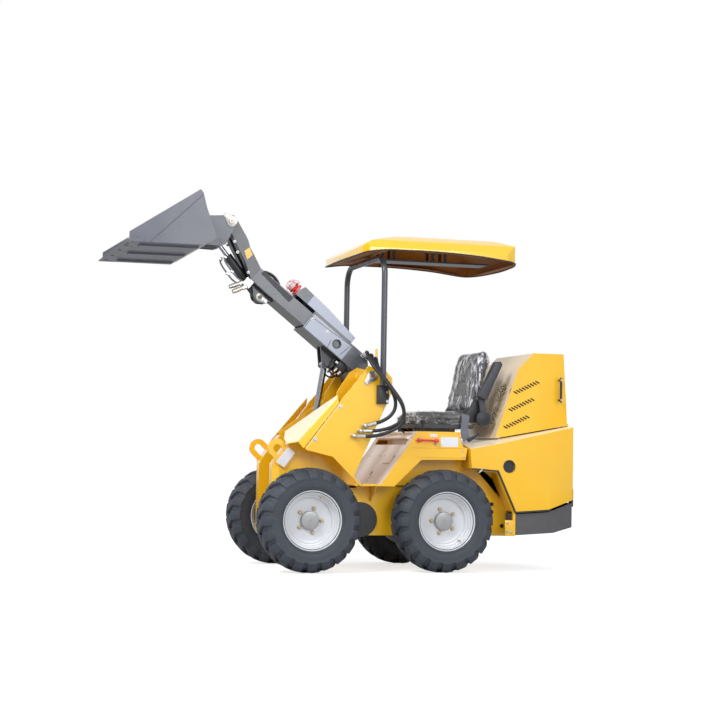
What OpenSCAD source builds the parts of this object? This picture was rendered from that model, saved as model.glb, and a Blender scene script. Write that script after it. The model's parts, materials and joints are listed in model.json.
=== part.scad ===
// Compact rigid-frame wheel loader: raised lift arm, level bucket, roll hoop with canopy.
// X runs forward, Y to the machine's left, Z up; the ground is Z = 0.
// Modules measure x from the front axle; place() moves them to the middle of the overall length.

/* [Wheels] */
// Distance between the axles
wheelbase = 784; // [760:2:840]
// Distance between the tyre centres, left to right
track = 800; // [790:5:860]
// Tyre diameter over the lugs
tyre_d = 584; // [560:2:600]
// Tyre width
tyre_w = 216; // [190:2:230]
// Height of the lugs
lug_h = 16; // [8:1:20]
// Lugs on each side of a tyre
lug_count = 20; // [14:1:24]
// Diameter over the rim flange
rim_d = 336; // [320:2:350]
// Diameter of the circle that the wheel nuts stand on
nut_circle_d = 140; // [120:1:150]

/* [Frame] */
// Distance from the middle plane to the outer face of the frame sides
frame_half = 228; // [215:1:240]
// Height of the frame's underside above the ground
frame_low = 200; // [180:5:230]
// Height of the frame's deck
deck_z = 484; // [470:2:500]
// Thickness of the frame plates
frame_plate = 8; // [6:1:10]
// Half of the open trough that the boom comes down in
trough_half = 128; // [124:1:140]
// How far the nose stands ahead of the front axle
nose_x = 165; // [150:5:180]
// Diameter of the round cover on each frame side
side_cover_d = 200; // [160:5:220]
// Thickness of the tie-down eyes
eye_t = 14; // [10:1:20]
// Width of the slot in a tie-down eye
eye_slot_w = 44; // [36:1:48]

/* [Tower] */
// Distance from the middle plane to the outer face of the tower plates
tower_half = 366; // [360:1:380]
// Thickness of the tower plates
tower_plate = 8; // [6:1:10]
// Boom pivot, behind the front axle
pivot_back = 365; // [355:1:375]
// Boom pivot, above the ground
pivot_z = 1104; // [1094:1:1114]
// Diameter of the boom pivot pin
pivot_pin_d = 36; // [30:1:40]

/* [Boom] */
// Angle of the boom above level
boom_angle = 38.45; // [36:0.05:41]
// Half of the boom's width
boom_half = 110; // [106:1:114]
// Height of the boom's side
boom_h = 92; // [84:1:100]
// Distance from the pivot to the bucket pin, along the boom
reach_u = 1152; // [1140:1:1170]
// Distance of the bucket pin above the boom's axis
reach_v = 201; // [195:1:210]
// Diameter of the bucket pin
bucket_pin_d = 30; // [25:1:34]

/* [Bucket] */
// Width of the bucket over its side plates
bucket_w = 1050; // [1030:5:1120]
// Depth of the bucket from its pin to the cutting edge
bucket_reach = 666; // [640:1:680]
// Thickness of the bucket's plates
bucket_plate = 8; // [6:1:10]
// Thickness of the cutting edge
edge_t = 18; // [14:1:22]

/* [Cylinders] */
// Outer diameter of the lift cylinder's barrel
lift_barrel_d = 60; // [54:1:66]
// Diameter of the lift cylinder's rod
lift_rod_d = 36; // [30:1:40]
// Outer diameter of the tilt cylinder's barrel
tilt_barrel_d = 50; // [46:1:56]
// Diameter of the tilt cylinder's rod
tilt_rod_d = 26; // [22:1:30]
// Diameter of the hydraulic hoses
hose_d = 22; // [16:1:24]

/* [Seat and canopy] */
// Width of the seat
seat_w = 420; // [400:5:440]
// Height of the seat box
seat_box_z = 800; // [790:2:812]
// Diameter of the roll hoop's tube
hoop_d = 34; // [30:1:42]
// Height of the hoop's cross tube, at its middle
hoop_z = 1790; // [1770:5:1800]
// Half of the canopy's width
canopy_half = 440; // [420:5:460]
// Height of the canopy's rim
canopy_z = 1812; // [1806:1:1830]
// Thickness of the canopy's shell
canopy_t = 6; // [4:1:8]

/* [Engine cover] */
// Half of the hood's width
hood_half = 300; // [290:2:310]
// Height of the hood's top
hood_z = 1272; // [1250:2:1290]
// Thickness of the hood's sheet
hood_t = 6; // [4:1:8]
// Half of the rear body's width
rear_half = 400; // [390:2:410]
// Distance from the rear axle to the rear face
rear_overhang = 830; // [820:2:850]
// How far the tail lamps stand behind the rear face
lamp_t = 12; // [8:1:16]
// Diameter of the hood's hinge knuckles
knuckle_d = 14; // [12:1:14]

/* [Hidden] */

$fn = 48;
eps = 0.01;
fit = 0.1;                                // a pin's diameter below its bore's
gap = 6;                                  // between pieces that move past each other
axle_z = tyre_d / 2;
rear_x = -wheelbase - rear_overhang;
pivot_x = -pivot_back;

// bucket pin, from the pivot along and across the raised boom
bucket_pin_x = pivot_x + reach_u * cos(boom_angle) - reach_v * sin(boom_angle);
bucket_pin_z = pivot_z + reach_u * sin(boom_angle) + reach_v * cos(boom_angle);
edge_x = bucket_pin_x + bucket_reach;
mid_x = (edge_x + rear_x - lamp_t) / 2;

// ---------------------------------------------------------------- helpers
module place() translate([-mid_x, 0, 0]) children();

// a plate in the X-Z plane, from y0 to y1
module slab(y0, y1) translate([0, y1, 0]) rotate([90, 0, 0]) linear_extrude(y1 - y0) children();

// a shape and its mirror image on the other side
module pair() {
    children();
    mirror([0, 1, 0]) children();
}

// a bar along Y
module rod_y(d, y0, y1) translate([0, y1, 0]) rotate([90, 0, 0]) cylinder(d = d, h = y1 - y0);

// a round bar between two points
module bar(a, b, d) {
    v = b - a;
    h = norm(v);
    translate(a) rotate([0, acos(v[2] / h), atan2(v[1], v[0])]) cylinder(d = d, h = h);
}

// the space beyond a plane through three points, on the side that the points run anticlockwise round
module beyond(a, b, c, back = 0) {
    n = cross(b - a, c - a) / norm(cross(b - a, c - a));
    translate(a - n * back) rotate([0, acos(n[2]), atan2(n[1], n[0])])
        translate([-1500, -1500, 0]) cube([3000, 3000, 600]);
}

// a thin sheet between corner points
module sheet(points, t) hull() for (p = points) translate(p) cube(t, center = true);

// a round tube along a route: one ring of points for each bend
function tangent(path, i) = let (
    a = path[max(i - 1, 0)], b = path[min(i + 1, len(path) - 1)]) (b - a) / norm(b - a);
function ring(path, i, d, sides) = let (
    t = tangent(path, i), s = cross([1, 0.2, 0], t) / norm(cross([1, 0.2, 0], t)), u = cross(t, s))
    [for (k = [0 : sides - 1]) path[i] + (s * cos(k * 360 / sides) + u * sin(k * 360 / sides)) * d / 2];
function halfway(path) = [for (i = [0 : len(path) - 2]) for (f = [0, 0.5])
    f == 0 ? path[i] : (path[i] + path[i + 1]) / 2 +
        (i > 0 && i < len(path) - 2 ? (path[i] + path[i + 1] - path[i - 1] - path[i + 2]) / 16 : [0, 0, 0]),
    path[len(path) - 1]];
module tube(path, d, sides = 8) polyhedron(
    points = [for (i = [0 : len(path) - 1]) each ring(path, i, d, sides)],
    faces = concat(
        [[for (k = [0 : sides - 1]) k]],
        [for (i = [0 : len(path) - 2], k = [0 : sides - 1]) [
            i * sides + (k + 1) % sides, i * sides + k, (i + 1) * sides + k, (i + 1) * sides + (k + 1) % sides]],
        [[for (k = [sides - 1 : -1 : 0]) (len(path) - 1) * sides + k]]
    ));

// boom frame: X along the boom, Z across it, origin at the pivot
module on_boom() translate([pivot_x, 0, pivot_z]) rotate([0, -boom_angle, 0]) children();

function boom_point(u, v) = [
    pivot_x + u * cos(boom_angle) - v * sin(boom_angle), 0,
    pivot_z + u * sin(boom_angle) + v * cos(boom_angle)
];

// ---------------------------------------------------------------- wheels
tyre_sides = [[track / 2, "left"], [-track / 2, "right"]];
crown_r = tyre_d / 2 - lug_h;
bead_r = rim_d / 2 - 14;
tyre_half = tyre_w / 2;
rim_half = tyre_half * 0.86;
bead_y = rim_half - 12;    // the bead's outer face, inside the rim's flange

// the carcass between the beads, without its lugs
module tyre_section() polygon([
    [bead_r, -bead_y], [rim_d / 2 + 1, -bead_y], [bead_r + 34, -tyre_half * 0.955],
    [bead_r + 66, -tyre_half * 0.975], [crown_r - 30, -tyre_half * 0.88], [crown_r - 8, -tyre_half * 0.66],
    [crown_r, -tyre_half * 0.3], [crown_r, tyre_half * 0.3], [crown_r - 8, tyre_half * 0.66],
    [crown_r - 30, tyre_half * 0.88], [bead_r + 66, tyre_half * 0.975], [bead_r + 34, tyre_half * 0.955],
    [rim_d / 2 + 1, bead_y], [bead_r, bead_y]
]);

// the ring that the lugs are cut from: out to their tips
module lug_section() polygon([
    [tyre_d / 2 - 86, -tyre_half * 0.9], [tyre_d / 2 - 86, -tyre_half], [tyre_d / 2 - 60, -tyre_half],
    [tyre_d / 2 - 22, -tyre_half * 0.86], [tyre_d / 2 - 6, -tyre_half * 0.6], [tyre_d / 2, -tyre_half * 0.3],
    [tyre_d / 2, tyre_half * 0.3], [tyre_d / 2 - 6, tyre_half * 0.6], [tyre_d / 2 - 22, tyre_half * 0.86],
    [tyre_d / 2 - 60, tyre_half], [tyre_d / 2 - 86, tyre_half], [tyre_d / 2 - 86, tyre_half * 0.9],
    [crown_r - 34, tyre_half * 0.8], [crown_r - 14, tyre_half * 0.5],
    [crown_r - 6, 0], [crown_r - 14, -tyre_half * 0.5], [crown_r - 34, -tyre_half * 0.8]
]);

// a lug's plan, from the middle of the tread out to the square block at the shoulder; it points
// forward at the top
module lug_plan(side) polygon([
    [58, side * -5], [42, side * 20], [14, side * 62], [8, side * 74], [8, side * 120],
    [-44, side * 120], [-44, side * 70], [-30, side * 56], [20, side * -5]
]);

module tyre(x, y) {
    lug_step = 360 / lug_count;
    color("#3d434c") translate([x, y, axle_z]) {
        rotate([90, 0, 0]) rotate_extrude() tyre_section();
        intersection() {
            rotate([90, 0, 0]) rotate_extrude() lug_section();
            for (i = [0 : lug_count - 1], side = [-1, 1])
                rotate([0, (i + side / 4) * lug_step, 0]) translate([0, 0, bead_r + 40])
                    linear_extrude(tyre_d / 2 - bead_r - 30) lug_plan(side);
        }
    }
}

disc_y = 18;            // wheel disc, outboard of the tyre's middle
hub_cap_d = 106;

// the rim's barrel, its flanges and the disc, for a wheel on the left
module rim(x, y, side) {
    color("#e1e4e8") translate([x, y, axle_z]) scale([1, side, 1]) {
        difference() {
            rotate([90, 0, 0]) rotate_extrude() polygon([
                [bead_r - 6, -rim_half], [rim_d / 2, -rim_half], [rim_d / 2, -rim_half + 6],
                [bead_r - eps, -rim_half + 10], [bead_r - eps, -rim_half + 40],
                [bead_r - 20, -rim_half + 60], [bead_r - 20, rim_half - 70], [bead_r - eps, rim_half - 50],
                [bead_r - eps, rim_half - 10], [rim_d / 2, rim_half - 6], [rim_d / 2, rim_half],
                [bead_r - 6, rim_half], [bead_r - 6, rim_half - 48], [bead_r - 27, rim_half - 68],
                [bead_r - 27, -rim_half + 62], [bead_r - 6, -rim_half + 44]
            ]);
        }
        rotate([-90, 0, 0]) translate([0, 0, disc_y - 8]) difference() {
            cylinder(r = bead_r - 22, h = 8);
            for (i = [0 : 4]) rotate([0, 0, 72 * i + 18]) translate([nut_circle_d / 2, 0, -1])
                cylinder(d = 16, h = 10);
        }
        rotate([-90, 0, 0]) translate([0, 0, disc_y]) {
            cylinder(d = hub_cap_d, h = 26);
            for (i = [0 : 4]) rotate([0, 0, 72 * i + 18]) translate([nut_circle_d / 2, 0, -9])
                cylinder(d = 22, h = 22, $fn = 6);
        }
    }
}

motor_d = 130;
// hydraulic motors on the frame sides: each carries a wheel. A round cover stands between them.
module wheel_motors() {
    color("#2b2e33") pair() translate([-348, 0, 290]) rod_y(side_cover_d, frame_half, frame_half + 10);
    color("#3a3f46") for (x = [0, -wheelbase]) pair() translate([x, 0, axle_z]) {
        rod_y(motor_d, frame_half, track / 2 - 40);
        rod_y(motor_d - 24, track / 2 - 41, track / 2 + disc_y - 8 - 0.3);
    }
}

// ---------------------------------------------------------------- frame
frame_rear_x = -1290;
trough_back_x = -230;
post_back_x = -60;        // the nose posts stand from here to the nose
post_top_z = 768;
trough_front_x = 30;      // the belly ends here, between the posts
corner = 34;              // width of the posts' cut outer corner
foot_pin_y = 50;          // half the length of the lift cylinder's foot pin

// the hull between the wheels, open on top where the boom comes down
module main_frame() {
    inner = frame_half - frame_plate;
    color("#f7c21d") {
        pair() slab(inner, frame_half) translate([frame_rear_x, frame_low])
            square([post_back_x - frame_rear_x, deck_z - frame_low]);
        pair() slab(trough_half, trough_half + frame_plate) translate([trough_back_x - 40, frame_low])
            square([post_back_x - trough_back_x + 40, deck_z - frame_low]);
        // belly, deck and the strips beside the trough
        translate([frame_rear_x, -inner - 1, frame_low])
            cube([post_back_x - frame_rear_x, 2 * inner + 2, frame_plate]);
        translate([frame_rear_x, -inner - 1, deck_z - frame_plate])
            cube([trough_back_x - 40 - frame_rear_x, 2 * inner + 2, frame_plate]);
        pair() translate([trough_back_x - 41, trough_half + 1, deck_z - frame_plate])
            cube([post_back_x - trough_back_x + 41, inner - trough_half, frame_plate]);
        // cross plates
        for (x = [trough_back_x - 41, -820, frame_rear_x])
            translate([x, -inner - 1, frame_low]) cube([frame_plate, 2 * inner + 2, deck_z - frame_low]);
    }
}

module post_side() polygon([
    [post_back_x, frame_low], [nose_x - 10, frame_low], [nose_x, frame_low + 10], [nose_x, 600],
    [nose_x - 35, 655], [40, post_top_z], [post_back_x, post_top_z]
]);
module post_plan() polygon([
    [post_back_x, trough_half], [nose_x, trough_half], [nose_x, frame_half - corner],
    [nose_x - corner, frame_half], [post_back_x, frame_half]
]);
module post_block(d) intersection() {
    slab(trough_half + d, frame_half - d) offset(delta = -d) post_side();
    linear_extrude(1000) offset(delta = -d) post_plan();
}

eye_x = 133;
eye_z = 674;
eye_slot_l = 46;          // between the middles of the slot's round ends
eye_rim = 30;             // width of the eye round its slot
module eye_outline(d) for (s = [-1, 1]) {
    translate([0, s * eye_slot_l / 2]) circle(d = d);
    translate([0, s * eye_slot_l / 4]) square([d, eye_slot_l / 2 + 0.1], center = true);
}

// two hollow posts that stand beside the lowered boom, with their tie-down eyes, the belly between
// them and the lugs that hold the lift cylinder's foot
module nose_posts() color("#f7c21d") {
    pair() difference() {
        post_block(0);
        post_block(frame_plate);
    }
    translate([post_back_x, -trough_half - 1, frame_low])
        cube([trough_front_x - post_back_x, 2 * trough_half + 2, frame_plate]);
    pair() slab(34, 46) {
        polygon([
            [lift_low[0] - 28, frame_low + frame_plate], [post_back_x, frame_low + frame_plate],
            [post_back_x, frame_low + 1], [lift_low[0] + 28, frame_low + 1],
            [lift_low[0] + 28, lift_low[2]], [lift_low[0] - 28, lift_low[2]]
        ]);
        translate([lift_low[0], lift_low[2]]) circle(d = 56);
    }
    translate(lift_low) rod_y(lift_pin_d - fit, -foot_pin_y, foot_pin_y);
    pair() slab(frame_half - 1, frame_half + eye_t) difference() {
        translate([eye_x, eye_z]) rotate(-45) union() {
            eye_outline(eye_slot_w + 2 * eye_rim);
            translate([-46, -66]) square([66, 60]);
        }
        translate([eye_x, eye_z]) rotate(-45) eye_outline(eye_slot_w);
    }
}

// outline of a tower plate with the arch over the front tyre
module tower_outline() polygon([
    [-341, 1163], [-279, 1081], [-233, 1021], [-186, 968], [-176, 949], [18, 692], [11, 681],
    [-144, 645], [-305, deck_z], [-320, deck_z], [-269, 538], [-387, 801], [-454, 946], [-488, 1024],
    [-486, 1098], [-446, 1138]
]);

module tower_plates() {
    boss_d = pivot_pin_d + 30;
    color("#f7c21d") difference() {
        union() {
            pair() slab(tower_half - tower_plate, tower_half) tower_outline();
            // inner plates that the boom turns between
            pair() slab(trough_half, trough_half + tower_plate) polygon([
                [-345, 1163], [-297, 1133], [-222, 1015], [-226, 985], [60, 782], [40, post_top_z],
                [post_back_x, post_top_z], [-180, deck_z], [-245, deck_z], [-387, 801], [-454, 946],
                [-488, 1024], [-486, 1098], [-446, 1138]
            ]);
            // bosses round the pivot pin, from the inner to the outer plates
            pair() translate([pivot_x, 0, pivot_z]) rod_y(boss_d, trough_half + 1, tower_half - 1);
            // panel behind the pivot, and an upright stop bar on the left plate
            slab(-trough_half - 1, trough_half + 1) polygon([
                [-424, 960], [-432, 957], [-466, 1030], [-464, 1100], [-456, 1100], [-458, 1031]
            ]);
            slab(trough_half, trough_half + tower_plate) translate([-468, 1080]) square([14, 196]);
        }
        translate([pivot_x, 0, pivot_z]) rod_y(pivot_pin_d, -tower_half - 1, tower_half + 1);
    }
}

cover_in = trough_half + tower_plate + 6;       // its inner edge, beside the inner tower plate
cover_out = tower_half - 24;
// the bent edge of each tower plate, and on the left the sheet that closes the tower's front
module front_cover() color("#f7c21d") {
    pair() sheet([
        [-170, tower_half - 4, 952], [26, tower_half - 4, 695], [-170, cover_out, 990], [50, cover_out, 728]
    ], 5);
    sheet([
        [-170, cover_out - 4, 990], [50, cover_out - 4, 728], [100, 300, 716], [106, 238, 740],
        [77, cover_in, 784], [-222, cover_in, 993]
    ], 5);
}

console_in = 250;          // half of the seat box
fender_low = 640;
module fender_sides() color("#f7c21d") pair() {
    slab(tower_half - tower_plate, tower_half) polygon([
        [-321, deck_z], [-321, deck_z + 12], [-432, deck_z + 12], [-582, 709], [-640, 799], [-873, 799],
        [-920, 714], [-945, 708], [-934, fender_low], [-667, fender_low - 3], [-509, deck_z]
    ]);
    // top of the fender, and the arch over the tyre
    translate([-873, console_in, 791]) cube([221, tower_half - 1 - console_in, 8]);
    slab(console_in, tower_half - 1) polygon([
        [-934, fender_low + 6], [-934, fender_low], [-669, fender_low], [-518, deck_z + 8], [-510, deck_z + 8],
        [-666, fender_low + 6]
    ]);
}

panel_half = tower_half - tower_plate - 1;
tray_half = 300;
// floor of the foot well and the sloping panel behind it, with the opening of a tray at its top
module front_panel() color("#f2c94a") difference() {
    slab(-panel_half, panel_half) polygon([
        [-275, deck_z], [-275, deck_z + 8], [-435, deck_z + 8], [-585, 712], [-640, 799], [-650, 799],
        [-597, 716], [-653, 716], [-653, 708], [-594, 708], [-446, deck_z]
    ]);
    slab(-tray_half, tray_half) polygon([[-580, 722], [-560, 770], [-632, 790], [-640, 786], [-602, 722]]);
}

seat_box_back = -945;
module seat_box() color("#f7c21d") difference() {
    slab(-console_in, console_in) polygon([
        [-655, seat_box_z], [-655, deck_z], [seat_box_back, deck_z], [seat_box_back, seat_box_z]
    ]);
    slab(-console_in + 6, console_in - 6) polygon([
        [-661, seat_box_z - 6], [-661, deck_z + 6], [seat_box_back + 6, deck_z + 6],
        [seat_box_back + 6, seat_box_z - 6]
    ]);
}

// ---------------------------------------------------------------- rear
rear_wall = 8;
rear_chamfer_x = -1449;
rear_top_z = 848;             // its top at the rear, in the middle
module rear_outline() polygon([
    [-950, 726], [rear_x, rear_top_z], [rear_x, 416], [-1439, 361], [-1235, 347], [-1125, 583], [-961, 595]
]);
module rear_plan() polygon([
    [-930, -rear_half], [-930, rear_half], [rear_chamfer_x, rear_half], [rear_x, rear_half - 60],
    [rear_x, -rear_half + 60], [rear_chamfer_x, -rear_half]
]);
// corners of the upper facet on the left side, and two more points of the sloping top
facet = [
    [-1159, rear_half, 742], [rear_x, rear_half - 60, 841], [rear_chamfer_x, rear_half, 548],
    [-1119, rear_half, 735], [-1119, hood_half, 757]
];
module rear_block(d) difference() {
    intersection() {
        slab(-rear_half + d, rear_half - d) offset(delta = -d) rear_outline();
        linear_extrude(1200) offset(delta = -d) rear_plan();
    }
    pair() {
        beyond(facet[0], facet[2], facet[1], d);
        beyond(facet[3], facet[1], facet[4], d);
    }
}

hinge_x = rear_x + 8;
hinge_z = 858;
hinge_pin_d = 8;
hinge_y = 220;                // middle of each hinge
// knuckles of the hood's hinges: the middle one of each is on the hood
module knuckles(d, y0, y1) pair() translate([hinge_x, hinge_y, hinge_z]) rod_y(d, y0, y1);

module rear_body() color("#f7c21d") {
    difference() {
        rear_block(0);
        rear_block(rear_wall);
        // open below, over the frame, and on top, under the hood
        translate([-1600, -frame_half, 300]) cube([660, 2 * frame_half, 330]);
        translate([-1575, -hood_half + 24, 640]) cube([400, 2 * hood_half - 48, 300]);
        // filler hole in the left side
        translate([-1190, rear_half - 20, 607]) rod_y(64, 0, 40);
    }
    // flange along the arch, down to the bolts at its foot
    pair() slab(rear_half - 30, rear_half - rear_wall) polygon([
        [-961, 596], [-1127, 584], [-1235, 350], [-1235, 206], [-1222, 206], [-1222, 342], [-1117, 571],
        [-961, 583]
    ]);
    knuckles(knuckle_d, -42, -21);
    knuckles(knuckle_d, 21, 42);
    pair() for (y = [-42, 21]) translate([rear_x, hinge_y + y, rear_top_z - 14])
        cube([knuckle_d, 21, hinge_z - rear_top_z + 14]);
    knuckles(hinge_pin_d, -41, 41);
}

trim_w = 9;
module rear_trim() color("#2b2e33") {
    pair() slab(rear_half - rear_wall, rear_half + 4) difference() {
        intersection() {
            offset(delta = trim_w) rear_outline();
            translate([rear_x, 330]) square([-950 - rear_x, 262]);
        }
        offset(delta = 0.2) rear_outline();
        translate([rear_chamfer_x - 1000, 0]) square([1000, 1200]);
    }
    // tail lamps
    pair() translate([rear_x - lamp_t, rear_half - 120, 376]) cube([lamp_t, 40, 104]);
}

bumper_wall = 10;
bumper_gap = 14;
module bumper_outline() polygon([
    [-1236, 211], [-1236, 347 - bumper_gap], [-1439, 361 - bumper_gap], [rear_x, 416 - bumper_gap - 3],
    [rear_x, 256], [-1480, 226]
]);
module bumper_plan(d) polygon([
    [-1236 - d, -rear_half + 10 + d], [-1236 - d, rear_half - 10 - d], [rear_chamfer_x, rear_half - 10 - d],
    [rear_x + d, rear_half - 70 - d], [rear_x + d, -rear_half + 70 + d], [rear_chamfer_x, -rear_half + 10 + d]
]);
module bumper() color("#5a5a60") difference() {
    intersection() {
        slab(-rear_half + 10, rear_half - 10) bumper_outline();
        linear_extrude(1200) bumper_plan(0);
    }
    intersection() {
        slab(-rear_half + 10 + bumper_wall, rear_half - 10 - bumper_wall) polygon([
            [-1236 - bumper_wall, 221], [-1236 - bumper_wall, 500], [rear_x + bumper_wall, 500],
            [rear_x + bumper_wall, 267], [-1480, 236]
        ]);
        linear_extrude(1200) bumper_plan(bumper_wall);
    }
    translate([frame_rear_x, -frame_half, 190]) cube([100, 2 * frame_half, 400]);
}

engine_w = 330;
engine_h = 420;
engine_z = 340;
engine_back_x = -1560;
module engine() color("#33363b") translate([engine_back_x, -engine_w / 2, engine_z])
    cube([frame_rear_x - engine_back_x, engine_w, engine_h]);

hood_front = [-1139, 768];    // lower and upper ends of the front that carries the grilles
hood_brow = [-1278, 1176];
grille_tilt = atan2(hood_front[0] - hood_brow[0], hood_brow[1] - hood_front[1]);
module hood_outline() polygon([
    hood_front, hood_brow, [-1372, hood_z], [-1567, hood_z], [-1601.5, 853]
]);
// behind a crease the hood's sides lean in
hood_crease = [[-1504, hood_half, hood_z], [-1376, hood_half, 800], [-1601.5, hood_half - 24, 853]];
module hood_block(d) difference() {
    slab(-hood_half + d, hood_half - d) offset(delta = -d) hood_outline();
    pair() beyond(hood_crease[0], hood_crease[1], hood_crease[2], d);
}

grille_d = 276;
grille_y = 145;
module on_grille() for (y = [-grille_y, grille_y]) translate([hood_front[0], y, hood_front[1]])
    rotate([0, -90 - grille_tilt, 0]) translate([216, 0, 0]) children();

hood_lip = 32;                // how far the sides turn in along their lower edge

vent_rows = 3;
vent_step = [-30, 0, 102];    // from each row of vents to the one above
vent_slots = 9;
module vents() for (r = [0 : vent_rows - 1], s = [0 : vent_slots - 1])
    translate([-1203, 0, 834] + r * vent_step + s * [-17, 0, 8]) rotate([0, 64, 0])
        translate([-3, -hood_half - 1, -13]) cube([6, 2 * hood_half + 2, 26]);

module hood() color("#f7c21d") {
    difference() {
        hood_block(0);
        hood_block(hood_t);
        // open below, between the lips that the sides turn in
        slab(-hood_half + hood_lip, hood_half - hood_lip) polygon([
            hood_front + [-8, -20], hood_front + [-14, 30], [-1588, 890], [-1594, 840]
        ]);
        on_grille() cylinder(d = grille_d - 24, h = 60, center = true);
        vents();
        // room for the knuckles on the body
        for (y = [-42, 21]) pair() translate([rear_x, hinge_y + y - 1, hinge_z - 30])
            cube([knuckle_d + 12, 23, 30 + knuckle_d / 2 + 4]);
    }
    difference() {
        knuckles(knuckle_d, -20, 20);
        knuckles(hinge_pin_d + 0.3, -21, 21);
    }
}

// ring grilles in front of the fans
module hood_grilles() color("#2b2e33") on_grille() translate([0, 0, -3.5]) {
    difference() {
        cylinder(d = grille_d, h = 3);
        translate([0, 0, -1]) cylinder(d = grille_d - 36, h = 5);
    }
    for (d = [80, 130, 180]) difference() {
        cylinder(d = d, h = 3);
        translate([0, 0, -1]) cylinder(d = d - 16, h = 5);
    }
    for (k = [0 : 3]) rotate([0, 0, 45 * k]) translate([-grille_d / 2 + 8, -4, 0])
        cube([grille_d - 16, 8, 3]);
}

module hood_handles() color("#24272c") pair() {
    for (post = [[1000, hood_half - 11.7], [1118, hood_half - 8]])    // height, and where the side is
        translate([-1540, 0, post[0]]) rod_y(11, post[1], hood_half + 23);
    translate([-1540, hood_half + 23, 986]) cylinder(d = 14, h = 146);
}

// ---------------------------------------------------------------- operator's place
hoop_x = -424;
hoop_y = 388;               // middle of each leg
hoop_bend_r = 110;
hoop_foot_z = 950;
bend_z = hoop_z - hoop_bend_r;
bend_y = hoop_y - hoop_bend_r;
rack_z = hoop_z + hoop_d / 2 - 6;
rack_half = 75;

// one bent tube on two foot plates, with the long plate and the spacers that carry the canopy
module roll_hoop() color("#3a3f46") {
    translate([hoop_x, 0, 0]) {
        pair() {
            translate([0, hoop_y, hoop_foot_z]) cylinder(d = hoop_d, h = bend_z - hoop_foot_z);
            translate([0, bend_y, bend_z]) rotate([90, 0, 90])
                rotate_extrude(angle = 90) translate([hoop_bend_r, 0]) circle(d = hoop_d);
            translate([-31, tower_half, 949]) cube([63, 13, 106]);
        }
        translate([0, 0, hoop_z]) rod_y(hoop_d, -bend_y, bend_y);
    }
    translate([-1168, -rack_half, rack_z]) cube([744, 2 * rack_half, 10]);
    for (y = [-60, 46]) slab(y, y + 14) intersection() {
        for (drop = [0, 70]) translate([0, -canopy_t - drop]) canopy_side(canopy_t);
        for (x = [-520, -590, -830, -910]) translate([x, rack_z + 9]) square([14, 200]);
    }
}

canopy_top = 118;
canopy_side_pts = [
    [-262, -18], [-270, 20], [-336, 62], [-480, 96], [-760, 114], [-980, 118], [-1120, 100], [-1200, 70],
    [-1262, 16], [-1270, -34], [-1214, -30], [-1027, -7], [-932, 2], [-737, 11], [-448, 12], [-336, 1]
];
module canopy_side(d) offset(delta = -d) translate([0, canopy_z]) polygon(canopy_side_pts);
module canopy_front(d) offset(delta = -d) translate([0, canopy_z]) polygon([
    [-canopy_half, -60], [-canopy_half, 20], [-canopy_half + 26, 66], [-canopy_half + 110, 102],
    [-canopy_half + 260, canopy_top], [canopy_half - 260, canopy_top], [canopy_half - 110, 102],
    [canopy_half - 26, 66], [canopy_half, 20], [canopy_half, -60]
]);
module canopy_plan(d) offset(delta = -d) polygon([for (s = [1, -1]) for (p = s > 0 ?
    [[-262, 0], [-276, 0.6], [-288, 0.9], [-318, 1], [-1150, 1], [-1206, 0.93], [-1246, 0.66], [-1270, 0]] :
    [[-1246, 0.66], [-1206, 0.93], [-1150, 1], [-318, 1], [-288, 0.9], [-276, 0.6]])
    [p[0], s * p[1] * canopy_half]]);
module canopy_block(d) intersection() {
    slab(-canopy_half - 5, canopy_half + 5) canopy_side(d);
    translate([-1400, 0, 0]) rotate([90, 0, 90]) linear_extrude(1400) canopy_front(d);
    translate([0, 0, 1700]) linear_extrude(400) canopy_plan(d);
}
module canopy() color("#f7c21d") difference() {
    canopy_block(0);
    translate([0, 0, -canopy_t]) canopy_block(canopy_t);
    translate([0, 0, -70]) canopy_block(canopy_t + 3);
}

module seat_cushion() color("#26282c") translate([-1010, -seat_w / 2, 846]) cube([335, seat_w, 66]);
module seat_back() color("#26282c") slab(-seat_w / 2, seat_w / 2) polygon([
    [-1000, 918], [-1060, 918], [-1150, 1240], [-1130, 1296], [-1085, 1290], [-1050, 1200]
]);
// the seat's pan on two runners, with the armrests on their round hinges
module seat_base() color("#1f2124") {
    translate([-1040, -seat_w / 2 + 10, 822]) cube([360, seat_w - 20, 22]);
    pair() {
        translate([seat_box_back + 5, 130, seat_box_z]) cube([250, 30, 23]);
        // armrest, its upright and its hinge
        slab(seat_w / 2 + 12, seat_w / 2 + 62) polygon([
            [-1046, 1010], [-1095, 990], [-1190, 1200], [-1180, 1218], [-1150, 1216]
        ]);
        slab(seat_w / 2 + 14, seat_w / 2 + 30) polygon([[-1110, 900], [-1070, 900], [-1056, 1020], [-1094, 1000]]);
        translate([-1090, 0, 882]) rod_y(88, seat_w / 2 + 13, seat_w / 2 + 40);
    }
}
module seat_belt() color("#6b7076") pair() translate([-940, seat_w / 2 + 3, seat_box_z])
    cube([44, 3, 150]);
module levers() color("#1c1e21") translate([-700, seat_w / 2 + 70, 799]) {
    cylinder(d = 12, h = 44);
    translate([0, 0, 42]) cylinder(d1 = 20, d2 = 26, h = 24);
}

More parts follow.
